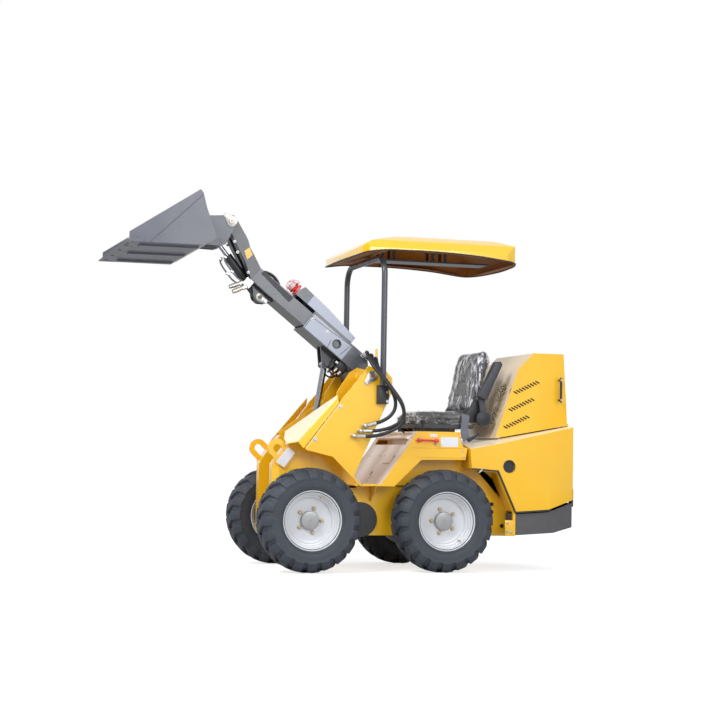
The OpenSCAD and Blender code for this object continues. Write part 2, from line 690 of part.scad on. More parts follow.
// ---------------------------------------------------------------- boom
boom_low = 8;               // underside of the outer tube, across from the pivot
boom_top = boom_low + boom_h + 24;
boom_front = 447;           // front end of the outer tube, from the pivot
boom_wall = 7;
inner_half = boom_half - boom_wall - gap;
inner_low = boom_low + boom_wall + gap;
inner_top = boom_top - boom_wall - gap;
inner_back = 112;
inner_wall = 8;
lift_u = 192;
lift_v = -50;              // low enough for the rod's eye to pass under the tube
lift_low = [-45, 0, 330];
tilt_base_u = 740;
tilt_base_v = -10;
tilt_end_u = reach_u - 27;
tilt_end_v = reach_v - 123;
tilt_end = boom_point(tilt_end_u, tilt_end_v);
tilt_pin_d = 24;
lift_pin_d = 30;
lift_eye_d = 52;
tilt_eye_d = 50;
lift_eye_w = 54;
tilt_eye_w = 48;
lug_gap = 6;                // between a rod's eye and the stubs of its pin
inner_front = 850;          // front end of the sliding tube
slot_half = tilt_barrel_d / 2 + gap;

// the outer tube, with the pivot's tube at its tail and the lift cylinder's bracket below
module boom() color("#6a6f77") on_boom() difference() {
    union() {
        difference() {
            slab(-boom_half, boom_half) polygon([
                [-46, -20], [-24, -46], [20, -46], [110, boom_low], [boom_front, boom_low],
                [boom_front, boom_top], [40, boom_top], [-20, 66], [-46, 30]
            ]);
            slab(-boom_half + boom_wall, boom_half - boom_wall) polygon([
                [52, boom_low + boom_wall], [boom_front + 1, boom_low + boom_wall],
                [boom_front + 1, boom_top - boom_wall], [52, boom_top - boom_wall]
            ]);
        }
        // two lugs, each with its stub of the pin: the eye between them is free to swing
        pair() slab(34, 46) polygon([
            [lift_u - 72, boom_low + 2], [lift_u - 28, lift_v - 10], [lift_u - 13, lift_v - 27],
            [lift_u + 13, lift_v - 27], [lift_u + 28, lift_v - 10], [lift_u + 96, boom_low + 2]
        ]);
        pair() translate([lift_u, 0, lift_v]) rod_y(lift_pin_d - fit, lift_eye_w / 2 + lug_gap, 56);
    }
    rod_y(pivot_pin_d, -boom_half - 1, boom_half + 1);
    // a round access hole in each side
    pair() translate([230, 0, 65]) rod_y(46, boom_half - boom_wall - 1, boom_half + 1);
}

module cover_side() polygon([
    [165, boom_top], [165, 167], [392, 192], [580, 200], [596, boom_top + 6], [boom_front + 6, boom_top + 6],
    [boom_front, boom_top]
]);
module hose_cover() color("#6a6f77") on_boom() difference() {
    slab(-boom_half + 8, boom_half - 8) cover_side();
    slab(-boom_half + 12, boom_half - 12) offset(delta = -4) cover_side();
    slab(-boom_half + 12, boom_half - 12) translate([172, boom_top - 1]) square([408, 14]);
}

// the lamp on the hose cover's front: its base, its body and the wire guard round it
module work_lamp() color("#c8252b") on_boom() translate([0, 62, 0]) {
    translate([597, -26, boom_top + 6]) cube([14, 52, 62]);
    translate([605, 0, 162]) rotate([0, 90, 0]) cylinder(d = 44, h = 14);
    translate([617, 0, 162]) rotate([0, 90, 0]) cylinder(d = 72, h = 34);
    for (a = [0, 90]) translate([640, 0, 162]) rotate([a, 0, 0]) rotate([90, 0, 0])
        rotate_extrude() translate([a == 0 ? 46 : 40, 0]) circle(d = 5);
}

// quick couplings beside the arm's end: each one's side, and where it starts and ends below the tube
coupler_lines = [[66, [866, -7], [916, -87]], [90, [842, -17], [886, -101]]];
coupler_d = 24;
coupler_bore_d = 12;
coupler_bore_l = 28;
module couplers() color("#c9ccd0") on_boom() {
    translate([828, 56, -26]) cube([46, 40, inner_low + 26]);
    for (c = coupler_lines) {
        start = [c[1][0], c[0], c[1][1]];
        end = [c[2][0], c[0], c[2][1]];
        dir = (end - start) / norm(end - start);
        difference() {
            bar(start, end, coupler_d);
            bar(end - dir * coupler_bore_l, end + dir, coupler_bore_d);
        }
    }
}

module boom_pin() color("#d5d8db") on_boom()
    rod_y(pivot_pin_d - fit, -tower_half - 8, tower_half + 8);

// the tube that slides in the outer one
module inner_boom() color("#6a6f77") on_boom() {
    difference() {
        slab(-inner_half, inner_half) polygon([
            [inner_back, inner_low], [inner_front, inner_low], [inner_front, inner_top], [inner_back, inner_top]
        ]);
        slab(-inner_half + inner_wall, inner_half - inner_wall) polygon([
            [inner_back - 1, inner_low + inner_wall], [inner_front - inner_wall, inner_low + inner_wall],
            [inner_front - inner_wall, inner_top - inner_wall], [inner_back - 1, inner_top - inner_wall]
        ]);
        // the tilt cylinder lies in a slot in the underside
        translate([tilt_base_u - tilt_eye_d / 2 - gap, -slot_half, inner_low - 1])
            cube([inner_front - tilt_base_u + tilt_eye_d / 2 + gap + 1, 2 * slot_half, 62]);
    }
    // bracket for the foot of the tilt cylinder
    pair() slab(34, 46) polygon([
        [660, inner_low + 2], [706, -26], [724, -38], [758, -38], [776, -26], [830, inner_low + 2]
    ]);
    translate([tilt_base_u, 0, tilt_base_v]) rod_y(tilt_pin_d - fit, -56, 56);
}

// the neck that carries the bucket: each point is set from the sliding tube's end or from the pin
module boom_head() color("#6a6f77") on_boom() difference() {
    slab(-inner_half, inner_half) polygon([
        [inner_front, inner_low], [inner_front + 88, 78], [reach_u - 112, reach_v - 79],
        [reach_u - 20, reach_v - 35], [reach_u + 14, reach_v - 34], [reach_u + 34, reach_v - 12],
        [reach_u + 34, reach_v + 12], [reach_u + 12, reach_v + 34], [reach_u - 14, reach_v + 36],
        [reach_u - 120, reach_v - 3], [reach_u - 148, reach_v - 16], [reach_u - 182, reach_v - 40],
        [inner_front + 78, 145], [inner_front, inner_top]
    ]);
    slab(-inner_half + inner_wall, inner_half - inner_wall) polygon([
        [inner_front + 8, inner_low + 14], [inner_front + 82, 84], [reach_u - 112, reach_v - 70],
        [reach_u - 72, reach_v - 53], [reach_u - 72, reach_v + 3], [reach_u - 116, reach_v - 11],
        [reach_u - 144, reach_v - 25], [reach_u - 178, reach_v - 49], [inner_front + 80, 136],
        [inner_front + 8, inner_top - 10]
    ]);
    slab(-60, 60) polygon([
        [reach_u - 102, reach_v - 101], [reach_u - 67, reach_v - 61], [reach_u - 67, reach_v + 49],
        [reach_u + 60, reach_v + 49], [reach_u + 60, reach_v - 101]
    ]);
    // the slot goes on under the neck
    slab(-slot_half, slot_half) polygon([
        [inner_front - 1, inner_low - 1], [inner_front - 1, inner_low + 61], [inner_front + 60, inner_low + 61],
        [reach_u - 60, reach_v - 40], [reach_u - 60, reach_v - 101]
    ]);
    translate([reach_u, 0, reach_v]) rod_y(bucket_pin_d, -inner_half - 1, inner_half + 1);
}

// ---------------------------------------------------------------- cylinders
lift_top = boom_point(lift_u, lift_v);
lift_dir = (lift_top - lift_low) / norm(lift_top - lift_low);
lift_tube = 540;                     // from the lower pin to the barrel's end
tilt_foot = boom_point(tilt_base_u, tilt_base_v);
tilt_dir = (tilt_end - tilt_foot) / norm(tilt_end - tilt_foot);
tilt_tube = 300;

module lift_barrel() color("#3a3f46") difference() {
    union() {
        translate(lift_low) rod_y(lift_barrel_d + 4, -26, 26);
        bar(lift_low + lift_dir * 10, lift_low + lift_dir * lift_tube, lift_barrel_d);
    }
    translate(lift_low) rod_y(lift_pin_d, -30, 30);
    bar(lift_low + lift_dir * 60, lift_low + lift_dir * (lift_tube + 1), lift_rod_d + fit);
}
module lift_rod() color("#d5d8db") difference() {
    union() {
        bar(lift_low + lift_dir * 360, lift_top - lift_dir * 12, lift_rod_d);
        translate(lift_top) rod_y(lift_eye_d, -lift_eye_w / 2, lift_eye_w / 2);
    }
    translate(lift_top) rod_y(lift_pin_d, -30, 30);
}
module tilt_barrel() color("#3a3f46") difference() {
    union() {
        translate(tilt_foot) rod_y(tilt_barrel_d + 4, -28, 28);
        bar(tilt_foot + tilt_dir * 10, tilt_foot + tilt_dir * tilt_tube, tilt_barrel_d);
    }
    translate(tilt_foot) rod_y(tilt_pin_d, -30, 30);
    bar(tilt_foot + tilt_dir * 36, tilt_foot + tilt_dir * (tilt_tube + 1), tilt_rod_d + fit);
}
module tilt_rod() color("#d5d8db") difference() {
    union() {
        bar(tilt_foot + tilt_dir * 80, tilt_end - tilt_dir * 12, tilt_rod_d);
        translate(tilt_end) rod_y(tilt_eye_d, -tilt_eye_w / 2, tilt_eye_w / 2);
    }
    translate(tilt_end) rod_y(tilt_pin_d, -30, 30);
}

// ---------------------------------------------------------------- bucket
bucket_half = bucket_w / 2;
floor_z = bucket_pin_z - 195;
module bucket_outline() translate([bucket_pin_x, bucket_pin_z]) polygon([
    [bucket_reach - 24, -142], [bucket_reach - 24, -168], [bucket_reach - 60, -195], [242, -195],
    [200, -178], [163, -151], [179, -109], [223, 12], [244, 92], [259, 109]
]);
module bucket_inner() translate([bucket_pin_x, bucket_pin_z]) polygon([
    [bucket_reach + 24, -187], [242, -187], [206, -172], [172, -148], [187, -109], [231, 12],
    [252, 90], [262, 125], [bucket_reach + 24, 125]
]);
module bucket() color("#858a96") {
    pair() slab(bucket_half - bucket_plate, bucket_half) bucket_outline();
    slab(-bucket_half + 1, bucket_half - 1) difference() {
        intersection() {
            bucket_outline();
            translate([bucket_pin_x - 200, bucket_pin_z - 300]) square([200 + bucket_reach - edge_back + 4, 409]);
        }
        bucket_inner();
    }
    // cutting edge, and the wear strips under the floor
    translate([bucket_pin_x, 0, bucket_pin_z]) {
        slab(-bucket_half - 10, bucket_half + 10) polygon([
            [bucket_reach, -191], [bucket_reach - 24, -195 + edge_t], [bucket_reach - edge_back, -195 + edge_t],
            [bucket_reach - edge_back, -195], [bucket_reach - 4, -195]
        ]);
        for (y = [-400, 0, 400]) slab(y - 30, y + 30) polygon([
            [skid_x, -194], [bucket_reach - edge_back + 6, -194], [bucket_reach - edge_back + 6, -206],
            [skid_x + 8, -206]
        ]);
    }
}
skid_x = 242;
edge_back = 100;              // how far the cutting edge reaches back from its tip
mount_y = inner_half + gap + 1;
// plates on the bucket's back, with lugs for the tilt cylinder's rod and the pins of both
module bucket_mount() color("#7a7f8a") {
    difference() {
        translate([bucket_pin_x, 0, bucket_pin_z]) {
            pair() slab(mount_y, mount_y + 14) polygon([
                [215, 20], [228, 8], [190, -104], [170, -140], [60, -144], [30, -134], [-30, -14],
                [-32, 12], [-14, 34], [12, 36], [60, 30]
            ]);
            pair() slab(30, 44) polygon([
                [186, -90], [174, -138], [60, -142], [34, -132], [30, -108], [50, -90]
            ]);
            slab(-mount_y - 1, mount_y + 1) polygon([
                [206, -24], [184, -104], [172, -100], [194, -20]
            ]);
            rod_y(bucket_pin_d - fit, -mount_y - 20, mount_y + 20);
        }
        slab(-bucket_half, bucket_half) bucket_outline();
    }
    pair() translate(tilt_end) rod_y(tilt_pin_d - fit, tilt_eye_w / 2 + lug_gap - 1, mount_y + 18);
}

// ---------------------------------------------------------------- hoses
// three hydraulic hoses: over the tower's left plate, out round the hoop's leg and back to the fittings
hose_routes = [
    [[-430, 126, 1196], [-432, 180, 1208], [-420, 250, 1212], [-402, 320, 1204], [-389, 372, 1184],
     [-394, 414, 1138], [-428, 428, 1080], [-462, 434, 1024], [-484, 434, 970], [-482, 432, 920],
     [-456, 428, 880], [-414, 420, 852], [-372, 412, 836], [-342, 406, 829]],
    [[-404, 126, 1214], [-404, 180, 1226], [-392, 250, 1230], [-376, 320, 1222], [-362, 376, 1200],
     [-374, 422, 1148], [-420, 452, 1084], [-468, 458, 1022], [-512, 460, 960], [-530, 454, 900],
     [-512, 444, 850], [-464, 434, 818], [-404, 422, 800], [-350, 410, 794], [-316, 406, 794]],
    [[-376, 126, 1232], [-378, 180, 1242], [-366, 250, 1246], [-350, 320, 1236], [-338, 382, 1212],
     [-354, 436, 1156], [-404, 470, 1088], [-458, 482, 1018], [-508, 484, 944], [-524, 476, 880],
     [-502, 466, 826], [-448, 448, 792], [-384, 432, 770], [-322, 416, 763], [-279, 406, 764]]
];
function route_end(r) = r[len(r) - 1];
function route_aim(r) = (route_end(r) - r[len(r) - 2]) / norm(route_end(r) - r[len(r) - 2]);
module hoses() color("#24272c") for (r = hose_routes) tube(halfway(r), hose_d);

// elbows on the tower's plate: a stub out of the plate and the sleeve that the hose is in
module hose_fittings() color("#c9ccd0") for (r = hose_routes) {
    f = route_end(r) + route_aim(r) * 22;
    translate([f[0], 0, f[2]]) rod_y(hose_d + 6, tower_half, f[1] + hose_d / 2 + 3);
    bar(route_end(r), f, hose_d + 2);
}

// ---------------------------------------------------------------- build
place() main_frame();
place() nose_posts();
place() tower_plates();
place() front_cover();
place() fender_sides();
place() front_panel();
place() seat_box();
place() wheel_motors();
place() rear_body();
place() rear_trim();
place() bumper();
place() engine();
place() hood();
place() hood_grilles();
place() hood_handles();
place() roll_hoop();
place() canopy();
place() seat_cushion();
place() seat_back();
place() seat_base();
place() seat_belt();
place() levers();
place() boom();
place() hose_cover();
place() work_lamp();
place() couplers();
place() boom_pin();
place() inner_boom();
place() boom_head();
place() lift_barrel();
place() lift_rod();
place() tilt_barrel();
place() tilt_rod();
place() bucket();
place() bucket_mount();
place() hoses();
place() hose_fittings();
place() tyre(0, track / 2);  // tyre_front_left
place() tyre(0, -track / 2);  // tyre_front_right
place() tyre(-wheelbase, track / 2);  // tyre_rear_left
place() tyre(-wheelbase, -track / 2);  // tyre_rear_right
place() rim(0, track / 2, 1);  // rim_front_left
place() rim(0, -track / 2, -1);  // rim_front_right
place() rim(-wheelbase, track / 2, 1);  // rim_rear_left
place() rim(-wheelbase, -track / 2, -1);  // rim_rear_right
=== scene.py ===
import json
import math

import bmesh
import bpy
from mathutils import Matrix, Vector, noise


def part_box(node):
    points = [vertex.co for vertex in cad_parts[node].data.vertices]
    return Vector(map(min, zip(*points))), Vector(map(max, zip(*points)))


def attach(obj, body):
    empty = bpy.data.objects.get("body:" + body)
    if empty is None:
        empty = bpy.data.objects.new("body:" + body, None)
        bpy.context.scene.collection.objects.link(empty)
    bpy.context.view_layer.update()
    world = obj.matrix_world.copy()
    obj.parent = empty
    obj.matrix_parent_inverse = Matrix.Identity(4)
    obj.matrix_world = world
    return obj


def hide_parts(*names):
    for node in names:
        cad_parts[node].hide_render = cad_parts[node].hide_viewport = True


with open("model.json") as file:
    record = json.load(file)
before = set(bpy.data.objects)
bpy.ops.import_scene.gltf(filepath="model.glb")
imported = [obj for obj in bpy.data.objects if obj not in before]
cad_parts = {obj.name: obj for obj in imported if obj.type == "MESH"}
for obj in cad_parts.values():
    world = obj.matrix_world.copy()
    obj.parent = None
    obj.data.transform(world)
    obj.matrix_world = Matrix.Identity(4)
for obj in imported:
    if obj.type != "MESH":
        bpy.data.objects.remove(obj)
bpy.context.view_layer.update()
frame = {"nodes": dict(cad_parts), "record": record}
nodes = frame["nodes"]
behaviour = frame["record"]["behaviour"]
bodyOf = {node: body for body, members in behaviour["bodies"].items() for node in members}
slotOf = {part["node"]: part["material_slot"] for part in frame["record"]["subparts"]}
joints = {joint["name"]: joint for joint in behaviour["joints"]}
tyreLow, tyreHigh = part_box("tyre_front_left")
axle = Vector(((tyreLow[0] + tyreHigh[0]) / 2, 0, 0))  # on the ground, below the front axle
pivot = Vector(joints["lift"]["pos_m"])
along = Vector(joints["telescope"]["axis"])  # out along the arm
across = Vector((-along.z, 0, along.x))


def at(x, y, z):  # millimetres from the front axle, the middle plane and the ground
    return axle + Vector((x, y, z)) / 1000


def onArm(u, y, v):  # millimetres along the arm from its pivot, sideways and up from it
    return pivot + (along * u + across * v + Vector((0, y, 0))) / 1000


# sockets and materials

class Link:  # a shader socket that works in an expression
    def __init__(self, tree, socket):
        self.tree = tree
        self.socket = socket

    def math(self, operation, other=0.0, swapped=False):
        node = self.tree.nodes.new("ShaderNodeMath")
        node.operation = operation
        plug(self.tree, node.inputs[1 if swapped else 0], self)
        plug(self.tree, node.inputs[0 if swapped else 1], other)
        return Link(self.tree, node.outputs[0])

    def __add__(self, other):
        return self.math("ADD", other)

    def __radd__(self, other):
        return self.math("ADD", other)

    def __sub__(self, other):
        return self.math("SUBTRACT", other)

    def __rsub__(self, other):
        return self.math("SUBTRACT", other, swapped=True)

    def __mul__(self, other):
        return self.math("MULTIPLY", other)

    def __rmul__(self, other):
        return self.math("MULTIPLY", other)

    def __truediv__(self, other):
        return self.math("DIVIDE", other)

    def __rtruediv__(self, other):
        return self.math("DIVIDE", other, swapped=True)

    def __pow__(self, other):
        return self.math("POWER", other)

    def __gt__(self, other):
        return self.math("GREATER_THAN", other)

    def __lt__(self, other):
        return self.math("LESS_THAN", other)


def plug(tree, target, value):
    if isinstance(value, Link):
        tree.links.new(value.socket, target)
    else:
        target.default_value = value


def linear(red, green, blue):  # screen values 0 to 255 as a scene colour
    shares = (red / 255, green / 255, blue / 255)
    return tuple(share / 12.92 if share < 0.04045 else ((share + 0.055) / 1.055) ** 2.4 for share in shares)


class Finish:  # a material and its Principled shader
    def __init__(self, name, colour, roughness, metallic=0.0, coat=0.0, coatRoughness=0.08):
        self.material = bpy.data.materials.new(name)
        self.material.use_nodes = True
        self.tree = self.material.node_tree
        self.shader = self.tree.nodes["Principled BSDF"]
        self.set("Base Color", (*colour, 1.0))
        self.set("Roughness", roughness)
        self.set("Metallic", metallic)
        self.set("Coat Weight", coat)
        self.set("Coat Roughness", coatRoughness)

    def set(self, socketName, value):
        plug(self.tree, self.shader.inputs[socketName], value)

    def node(self, kind, settings=None, inputs=None, output=0):
        node = self.tree.nodes.new(kind)
        for key, value in (settings or {}).items():
            if key == "stops":
                ramp = node.color_ramp
                while len(ramp.elements) < len(value):
                    ramp.elements.new(0.5)
                for element, (position, tone) in zip(ramp.elements, value):
                    element.position = position
                    element.color = (*tone, 1.0)
            else:
                setattr(node, key, value)
        for key, value in (inputs or {}).items():
            plug(self.tree, node.inputs[key], value)
        return Link(self.tree, node.outputs[output])

    def place(self, scale=(1, 1, 1), turn=(0, 0, 0)):  # object coordinates, in metres
        raw = self.node("ShaderNodeTexCoord", output=3)
        return self.node("ShaderNodeMapping", {}, {"Vector": raw, "Rotation": turn, "Scale": scale})

    def noise(self, scale, detail=3.0, roughness=0.5, where=None, distortion=0.0):
        inputs = {"Vector": where or self.place(), "Scale": scale, "Detail": detail,
                  "Roughness": roughness, "Distortion": distortion}
        return self.node("ShaderNodeTexNoise", {}, inputs)

    def ramp(self, factor, *stops):  # stops of (position, grey)
        greys = [(position, (grey, grey, grey)) for position, grey in stops]
        return self.node("ShaderNodeValToRGB", {"stops": greys}, {"Fac": factor})

    def blend(self, factor, first, second):
        node = self.tree.nodes.new("ShaderNodeMix")
        node.data_type = "RGBA"
        plug(self.tree, node.inputs["Factor"], factor)
        for socket, value in ((node.inputs[6], first), (node.inputs[7], second)):
            plug(self.tree, socket, value if isinstance(value, Link) else (*value, 1.0))
        return Link(self.tree, node.outputs[2])

    def bump(self, height, strength=0.3, distance=0.001):
        inputs = {"Height": height, "Strength": strength, "Distance": distance}
        self.set("Normal", self.node("ShaderNodeBump", {}, inputs))


def yellowPaint():
    look = {"low": (253, 190, 14), "high": (255, 203, 30), "roughness": 0.3, "peel": 240.0}
    paint = Finish("yellowPaint", linear(*look["high"]), look["roughness"], coat=0.8)
    paint.set("Base Color", paint.blend(paint.noise(5.0, 2.0), linear(*look["low"]), linear(*look["high"])))
    paint.set("Roughness", paint.noise(11.0, 2.0) * 0.12 + (look["roughness"] - 0.04))
    paint.bump(paint.noise(look["peel"], 2.0), 0.06, 0.0004)
    return paint.material


def armPaint():
    look = {"low": (62, 66, 75), "high": (77, 81, 90), "roughness": 0.38, "grain": 380.0}
    paint = Finish("armPaint", linear(*look["high"]), look["roughness"], coat=0.35)
    paint.set("Base Color", paint.blend(paint.noise(7.0, 3.0), linear(*look["low"]), linear(*look["high"])))
    paint.set("Roughness", paint.noise(16.0, 3.0) * 0.14 + (look["roughness"] - 0.06))
    paint.bump(paint.noise(look["grain"], 2.0), 0.08, 0.0004)
    return paint.material


def bucketPaint():
    look = {"low": (88, 91, 102), "high": (104, 107, 119), "scratch": (132, 134, 140), "roughness": 0.42}
    paint = Finish("bucketPaint", linear(*look["high"]), look["roughness"], coat=0.25)
    body = paint.blend(paint.noise(6.0, 4.0), linear(*look["low"]), linear(*look["high"]))
    streak = paint.noise(40.0, 2.0, where=paint.place(scale=(0.15, 1.0, 1.0)))
    worn = paint.ramp(streak, (0.66, 0.0), (0.82, 0.35))
    paint.set("Base Color", paint.blend(worn, body, linear(*look["scratch"])))
    paint.set("Roughness", streak * 0.16 + (look["roughness"] - 0.08))
    paint.bump(paint.noise(300.0, 2.0), 0.08, 0.0004)
    return paint.material


def tyreRubber():
    look = {"low": (48, 53, 62), "high": (63, 70, 81), "dust": (92, 92, 92), "roughness": 0.58}
    rubber = Finish("tyreRubber", linear(*look["low"]), look["roughness"])
    tone = rubber.blend(rubber.noise(9.0, 3.0), linear(*look["low"]), linear(*look["high"]))
    dust = rubber.ramp(rubber.noise(34.0, 5.0, 0.65), (0.56, 0.0), (0.74, 0.4))
    rubber.set("Base Color", rubber.blend(dust, tone, linear(*look["dust"])))
    rubber.set("Roughness", dust * 0.25 + look["roughness"])
    rubber.bump(rubber.noise(230.0, 4.0), 0.25, 0.0006)
    return rubber.material


def rimPaint():
    look = {"low": (205, 208, 214), "high": (222, 225, 230), "roughness": 0.28}
    paint = Finish("rimPaint", linear(*look["high"]), look["roughness"], coat=0.5)
    paint.set("Base Color", paint.blend(paint.noise(14.0, 3.0), linear(*look["low"]), linear(*look["high"])))
    paint.set("Roughness", paint.noise(20.0, 3.0) * 0.1 + (look["roughness"] - 0.03))
    paint.bump(paint.noise(280.0, 2.0), 0.05, 0.0003)
    return paint.material


def zincPlate():
    look = {"low": (176, 178, 178), "high": (206, 207, 206), "tint": (214, 190, 142), "roughness": 0.32}
    zinc = Finish("zincPlate", linear(*look["high"]), look["roughness"], metallic=0.9)
    sheen = zinc.blend(zinc.noise(60.0, 3.0), linear(*look["low"]), linear(*look["high"]))
    tint = zinc.ramp(zinc.noise(26.0, 2.0), (0.5, 0.0), (0.7, 0.6))
    zinc.set("Base Color", zinc.blend(tint, sheen, linear(*look["tint"])))
    zinc.set("Roughness", zinc.noise(90.0, 3.0) * 0.2 + (look["roughness"] - 0.1))
    zinc.bump(zinc.noise(500.0, 2.0), 0.06, 0.0003)
    return zinc.material


def seatCover():
    look = {"low": (22, 23, 26), "high": (36, 37, 42), "roughness": 0.45, "grain": 700.0}
    cover = Finish("seatCover", linear(*look["low"]), look["roughness"], coat=0.15)
    cover.set("Base Color", cover.blend(cover.noise(30.0, 3.0), linear(*look["low"]), linear(*look["high"])))
    cover.set("Roughness", cover.noise(50.0, 3.0) * 0.16 + (look["roughness"] - 0.06))
    pebbles = cover.node("ShaderNodeTexVoronoi", {}, {"Vector": cover.place(), "Scale": look["grain"]})
    cover.bump(pebbles, 0.25, 0.0005)
    return cover.material


def clearWrap(name, stretch, turn):  # thin film over the seat: clear, with white glare along its creases
    look = {"milk": (232, 236, 243), "clear": 0.11, "creased": 0.95}
    film = Finish(name, linear(*look["milk"]), 0.14, coat=1.0)
    lie = film.place(scale=stretch, turn=turn)
    folds = film.noise(1.0, 2.0, 0.5, where=lie, distortion=0.7)
    ridge = film.ramp((folds - 0.5).math("ABSOLUTE"), (0.0, 1.0), (0.03, 0.6), (0.07, 0.0))
    patch = film.ramp(film.noise(8.0, 2.0), (0.42, 0.0), (0.6, 1.0))
    film.set("Alpha", ridge * patch * look["creased"] + look["clear"])
    film.bump(folds, 0.8, 0.004)
    return film.material


def plainFinish(name, low, high, roughness, metallic=0.0, coat=0.0, scale=30.0, grain=300.0, bump=0.08):
    made = Finish(name, linear(*low), roughness, metallic, coat)
    made.set("Base Color", made.blend(made.noise(scale, 3.0), linear(*low), linear(*high)))
    made.set("Roughness", made.noise(scale * 1.7, 3.0) * 0.12 + (roughness - 0.06))
    made.bump(made.noise(grain, 2.0), bump, 0.0004)
    return made.material


finishes = {
    "yellow_paint": yellowPaint(),
    "grey_paint": armPaint(),
    "bucket_paint": bucketPaint(),
    "dark_paint": plainFinish("darkPaint", (38, 40, 45), (50, 52, 57), 0.4),
    "bumper_paint": plainFinish("bumperPaint", (80, 80, 84), (92, 92, 96), 0.6, bump=0.2),
    "rim_paint": rimPaint(),
    "canopy_plastic": plainFinish("canopyPlastic", (255, 196, 18), (255, 207, 34), 0.24, coat=0.9,
                                  scale=4.0),
    "tyre_rubber": tyreRubber(),
    "hose_rubber": plainFinish("hoseRubber", (24, 25, 28), (40, 42, 47), 0.42, bump=0.15),
    "seat_cover": seatCover(),
    "black_plastic": plainFinish("blackPlastic", (30, 32, 36), (42, 44, 49), 0.48),
    "belt_web": plainFinish("beltWeb", (92, 96, 106), (122, 127, 138), 0.7, scale=200.0, grain=900.0,
                            bump=0.3),
    "chrome_steel": plainFinish("chromeSteel", (128, 131, 138), (150, 153, 160), 0.14, metallic=1.0,
                                bump=0.02),
    "zinc_steel": zincPlate(),
    "lamp_plastic": plainFinish("lampPlastic", (206, 26, 30), (224, 40, 42), 0.3, coat=0.5),
    "engine_iron": plainFinish("engineIron", (38, 40, 44), (56, 58, 62), 0.6),
}
extras = {  # finishes of small things that only show here
    "paleBand": plainFinish("paleBand", (176, 184, 204), (192, 200, 219), 0.35, coat=0.4, scale=8.0),
    "blankLabel": plainFinish("blankLabel", (224, 228, 236), (238, 241, 246), 0.35, coat=0.5),
    "amberLabel": plainFinish("amberLabel", (246, 178, 26), (252, 190, 40), 0.35, coat=0.5),
    "redPlastic": plainFinish("redPlastic", (214, 28, 34), (232, 44, 48), 0.3, coat=0.6),
    # the yellow canopy plastic darkened to brown: painted shade on its inside
    "canopyInsideShade": plainFinish("canopyInsideShade", (140, 84, 22), (160, 98, 26), 0.55, scale=6.0),
    # darker grey: painted shade along the bucket's fold, and the heads of its edge bolts
    "deepFold": plainFinish("deepFold", (62, 64, 72), (74, 76, 84), 0.6),
    # near black: painted shade in gaps, slots, vents and behind the hood's openings, and dark seam joints on
    # the arm
    "seamAndGapShade": plainFinish("seamAndGapShade", (14, 14, 16), (20, 20, 22), 0.8),
    "whiteGuard": plainFinish("whiteGuard", (214, 218, 226), (232, 236, 242), 0.28, coat=0.6),
    "clearLens": plainFinish("clearLens", (206, 212, 218), (224, 228, 232), 0.12, coat=1.0),
    "cushionWrap": clearWrap("cushionWrap", (16.0, 9.0, 40.0), (0.0, 0.5, 0.4)),
    "backWrap": clearWrap("backWrap", (34.0, 34.0, 6.0), (0.0, 0.2, 0.0)),
    "capGrey": plainFinish("capGrey", (150, 153, 154), (172, 174, 175), 0.38, metallic=0.5),
    # paler tones of the yellow paint: painted glare on faces turned to the lamps
    "creamGlare": plainFinish("creamGlare", (255, 238, 200), (255, 244, 216), 0.4, coat=0.5, scale=5.0),
    "panelGlare": plainFinish("panelGlare", (240, 226, 216), (250, 238, 230), 0.45, coat=0.4, scale=5.0),
    "hoodGlare": plainFinish("hoodGlare", (240, 214, 176), (250, 228, 194), 0.42, coat=0.4, scale=5.0),
    "brassNut": plainFinish("brassNut", (176, 158, 126), (206, 190, 158), 0.3, metallic=0.85),
    # pale fan guards, toned with the painted glare of the hood's front
    "grillePaleAndGlare": plainFinish("grillePaleAndGlare", (236, 214, 176), (250, 230, 196), 0.4, coat=0.3),
    "foldShade": plainFinish("foldShade", (206, 140, 8), (222, 156, 14), 0.5),
    "foldHighlight": plainFinish("foldHighlight", (255, 232, 168), (255, 240, 192), 0.4, coat=0.5, scale=6.0),
    "padGrey": plainFinish("padGrey", (52, 54, 60), (66, 69, 76), 0.5, bump=0.2),
}

for node, slot in slotOf.items():
    nodes[node].data.materials.clear()
    nodes[node].data.materials.append(finishes[slot])
print("finishes set")


# shapes: each adds to a bmesh, in metres and in place

def box(mesh, low, high):
    middle, size = (low + high) / 2, high - low
    place = Matrix.Translation(middle) @ Matrix.Diagonal((abs(size.x), abs(size.y), abs(size.z), 1))
    bmesh.ops.create_cube(mesh, size=1.0, matrix=place)


def rod(mesh, start, end, width, endWidth=None, sides=24, shift=0.0):  # widths in millimetres
    middle, reach = (start + end) / 2, end - start
    place = Matrix.Translation(middle) @ reach.to_track_quat("Z", "Y").to_matrix().to_4x4()
    place = place @ Matrix.Rotation(math.radians(shift), 4, "Z")
    bmesh.ops.create_cone(mesh, cap_ends=True, segments=sides, radius1=width / 2000,
                          radius2=(width if endWidth is None else endWidth) / 2000,
                          depth=reach.length, matrix=place)


def ball(mesh, centre, width, rows=10):
    bmesh.ops.create_uvsphere(mesh, u_segments=rows * 2, v_segments=rows, radius=width / 2000,
                              matrix=Matrix.Translation(centre))


def plate(mesh, corners, thickness):  # a flat outline pushed out by a vector
    face = mesh.faces.new([mesh.verts.new(corner) for corner in corners])
    grown = bmesh.ops.extrude_face_region(mesh, geom=[face])["geom"]
    moved = [part for part in grown if isinstance(part, bmesh.types.BMVert)]
    bmesh.ops.translate(mesh, verts=moved, vec=thickness)


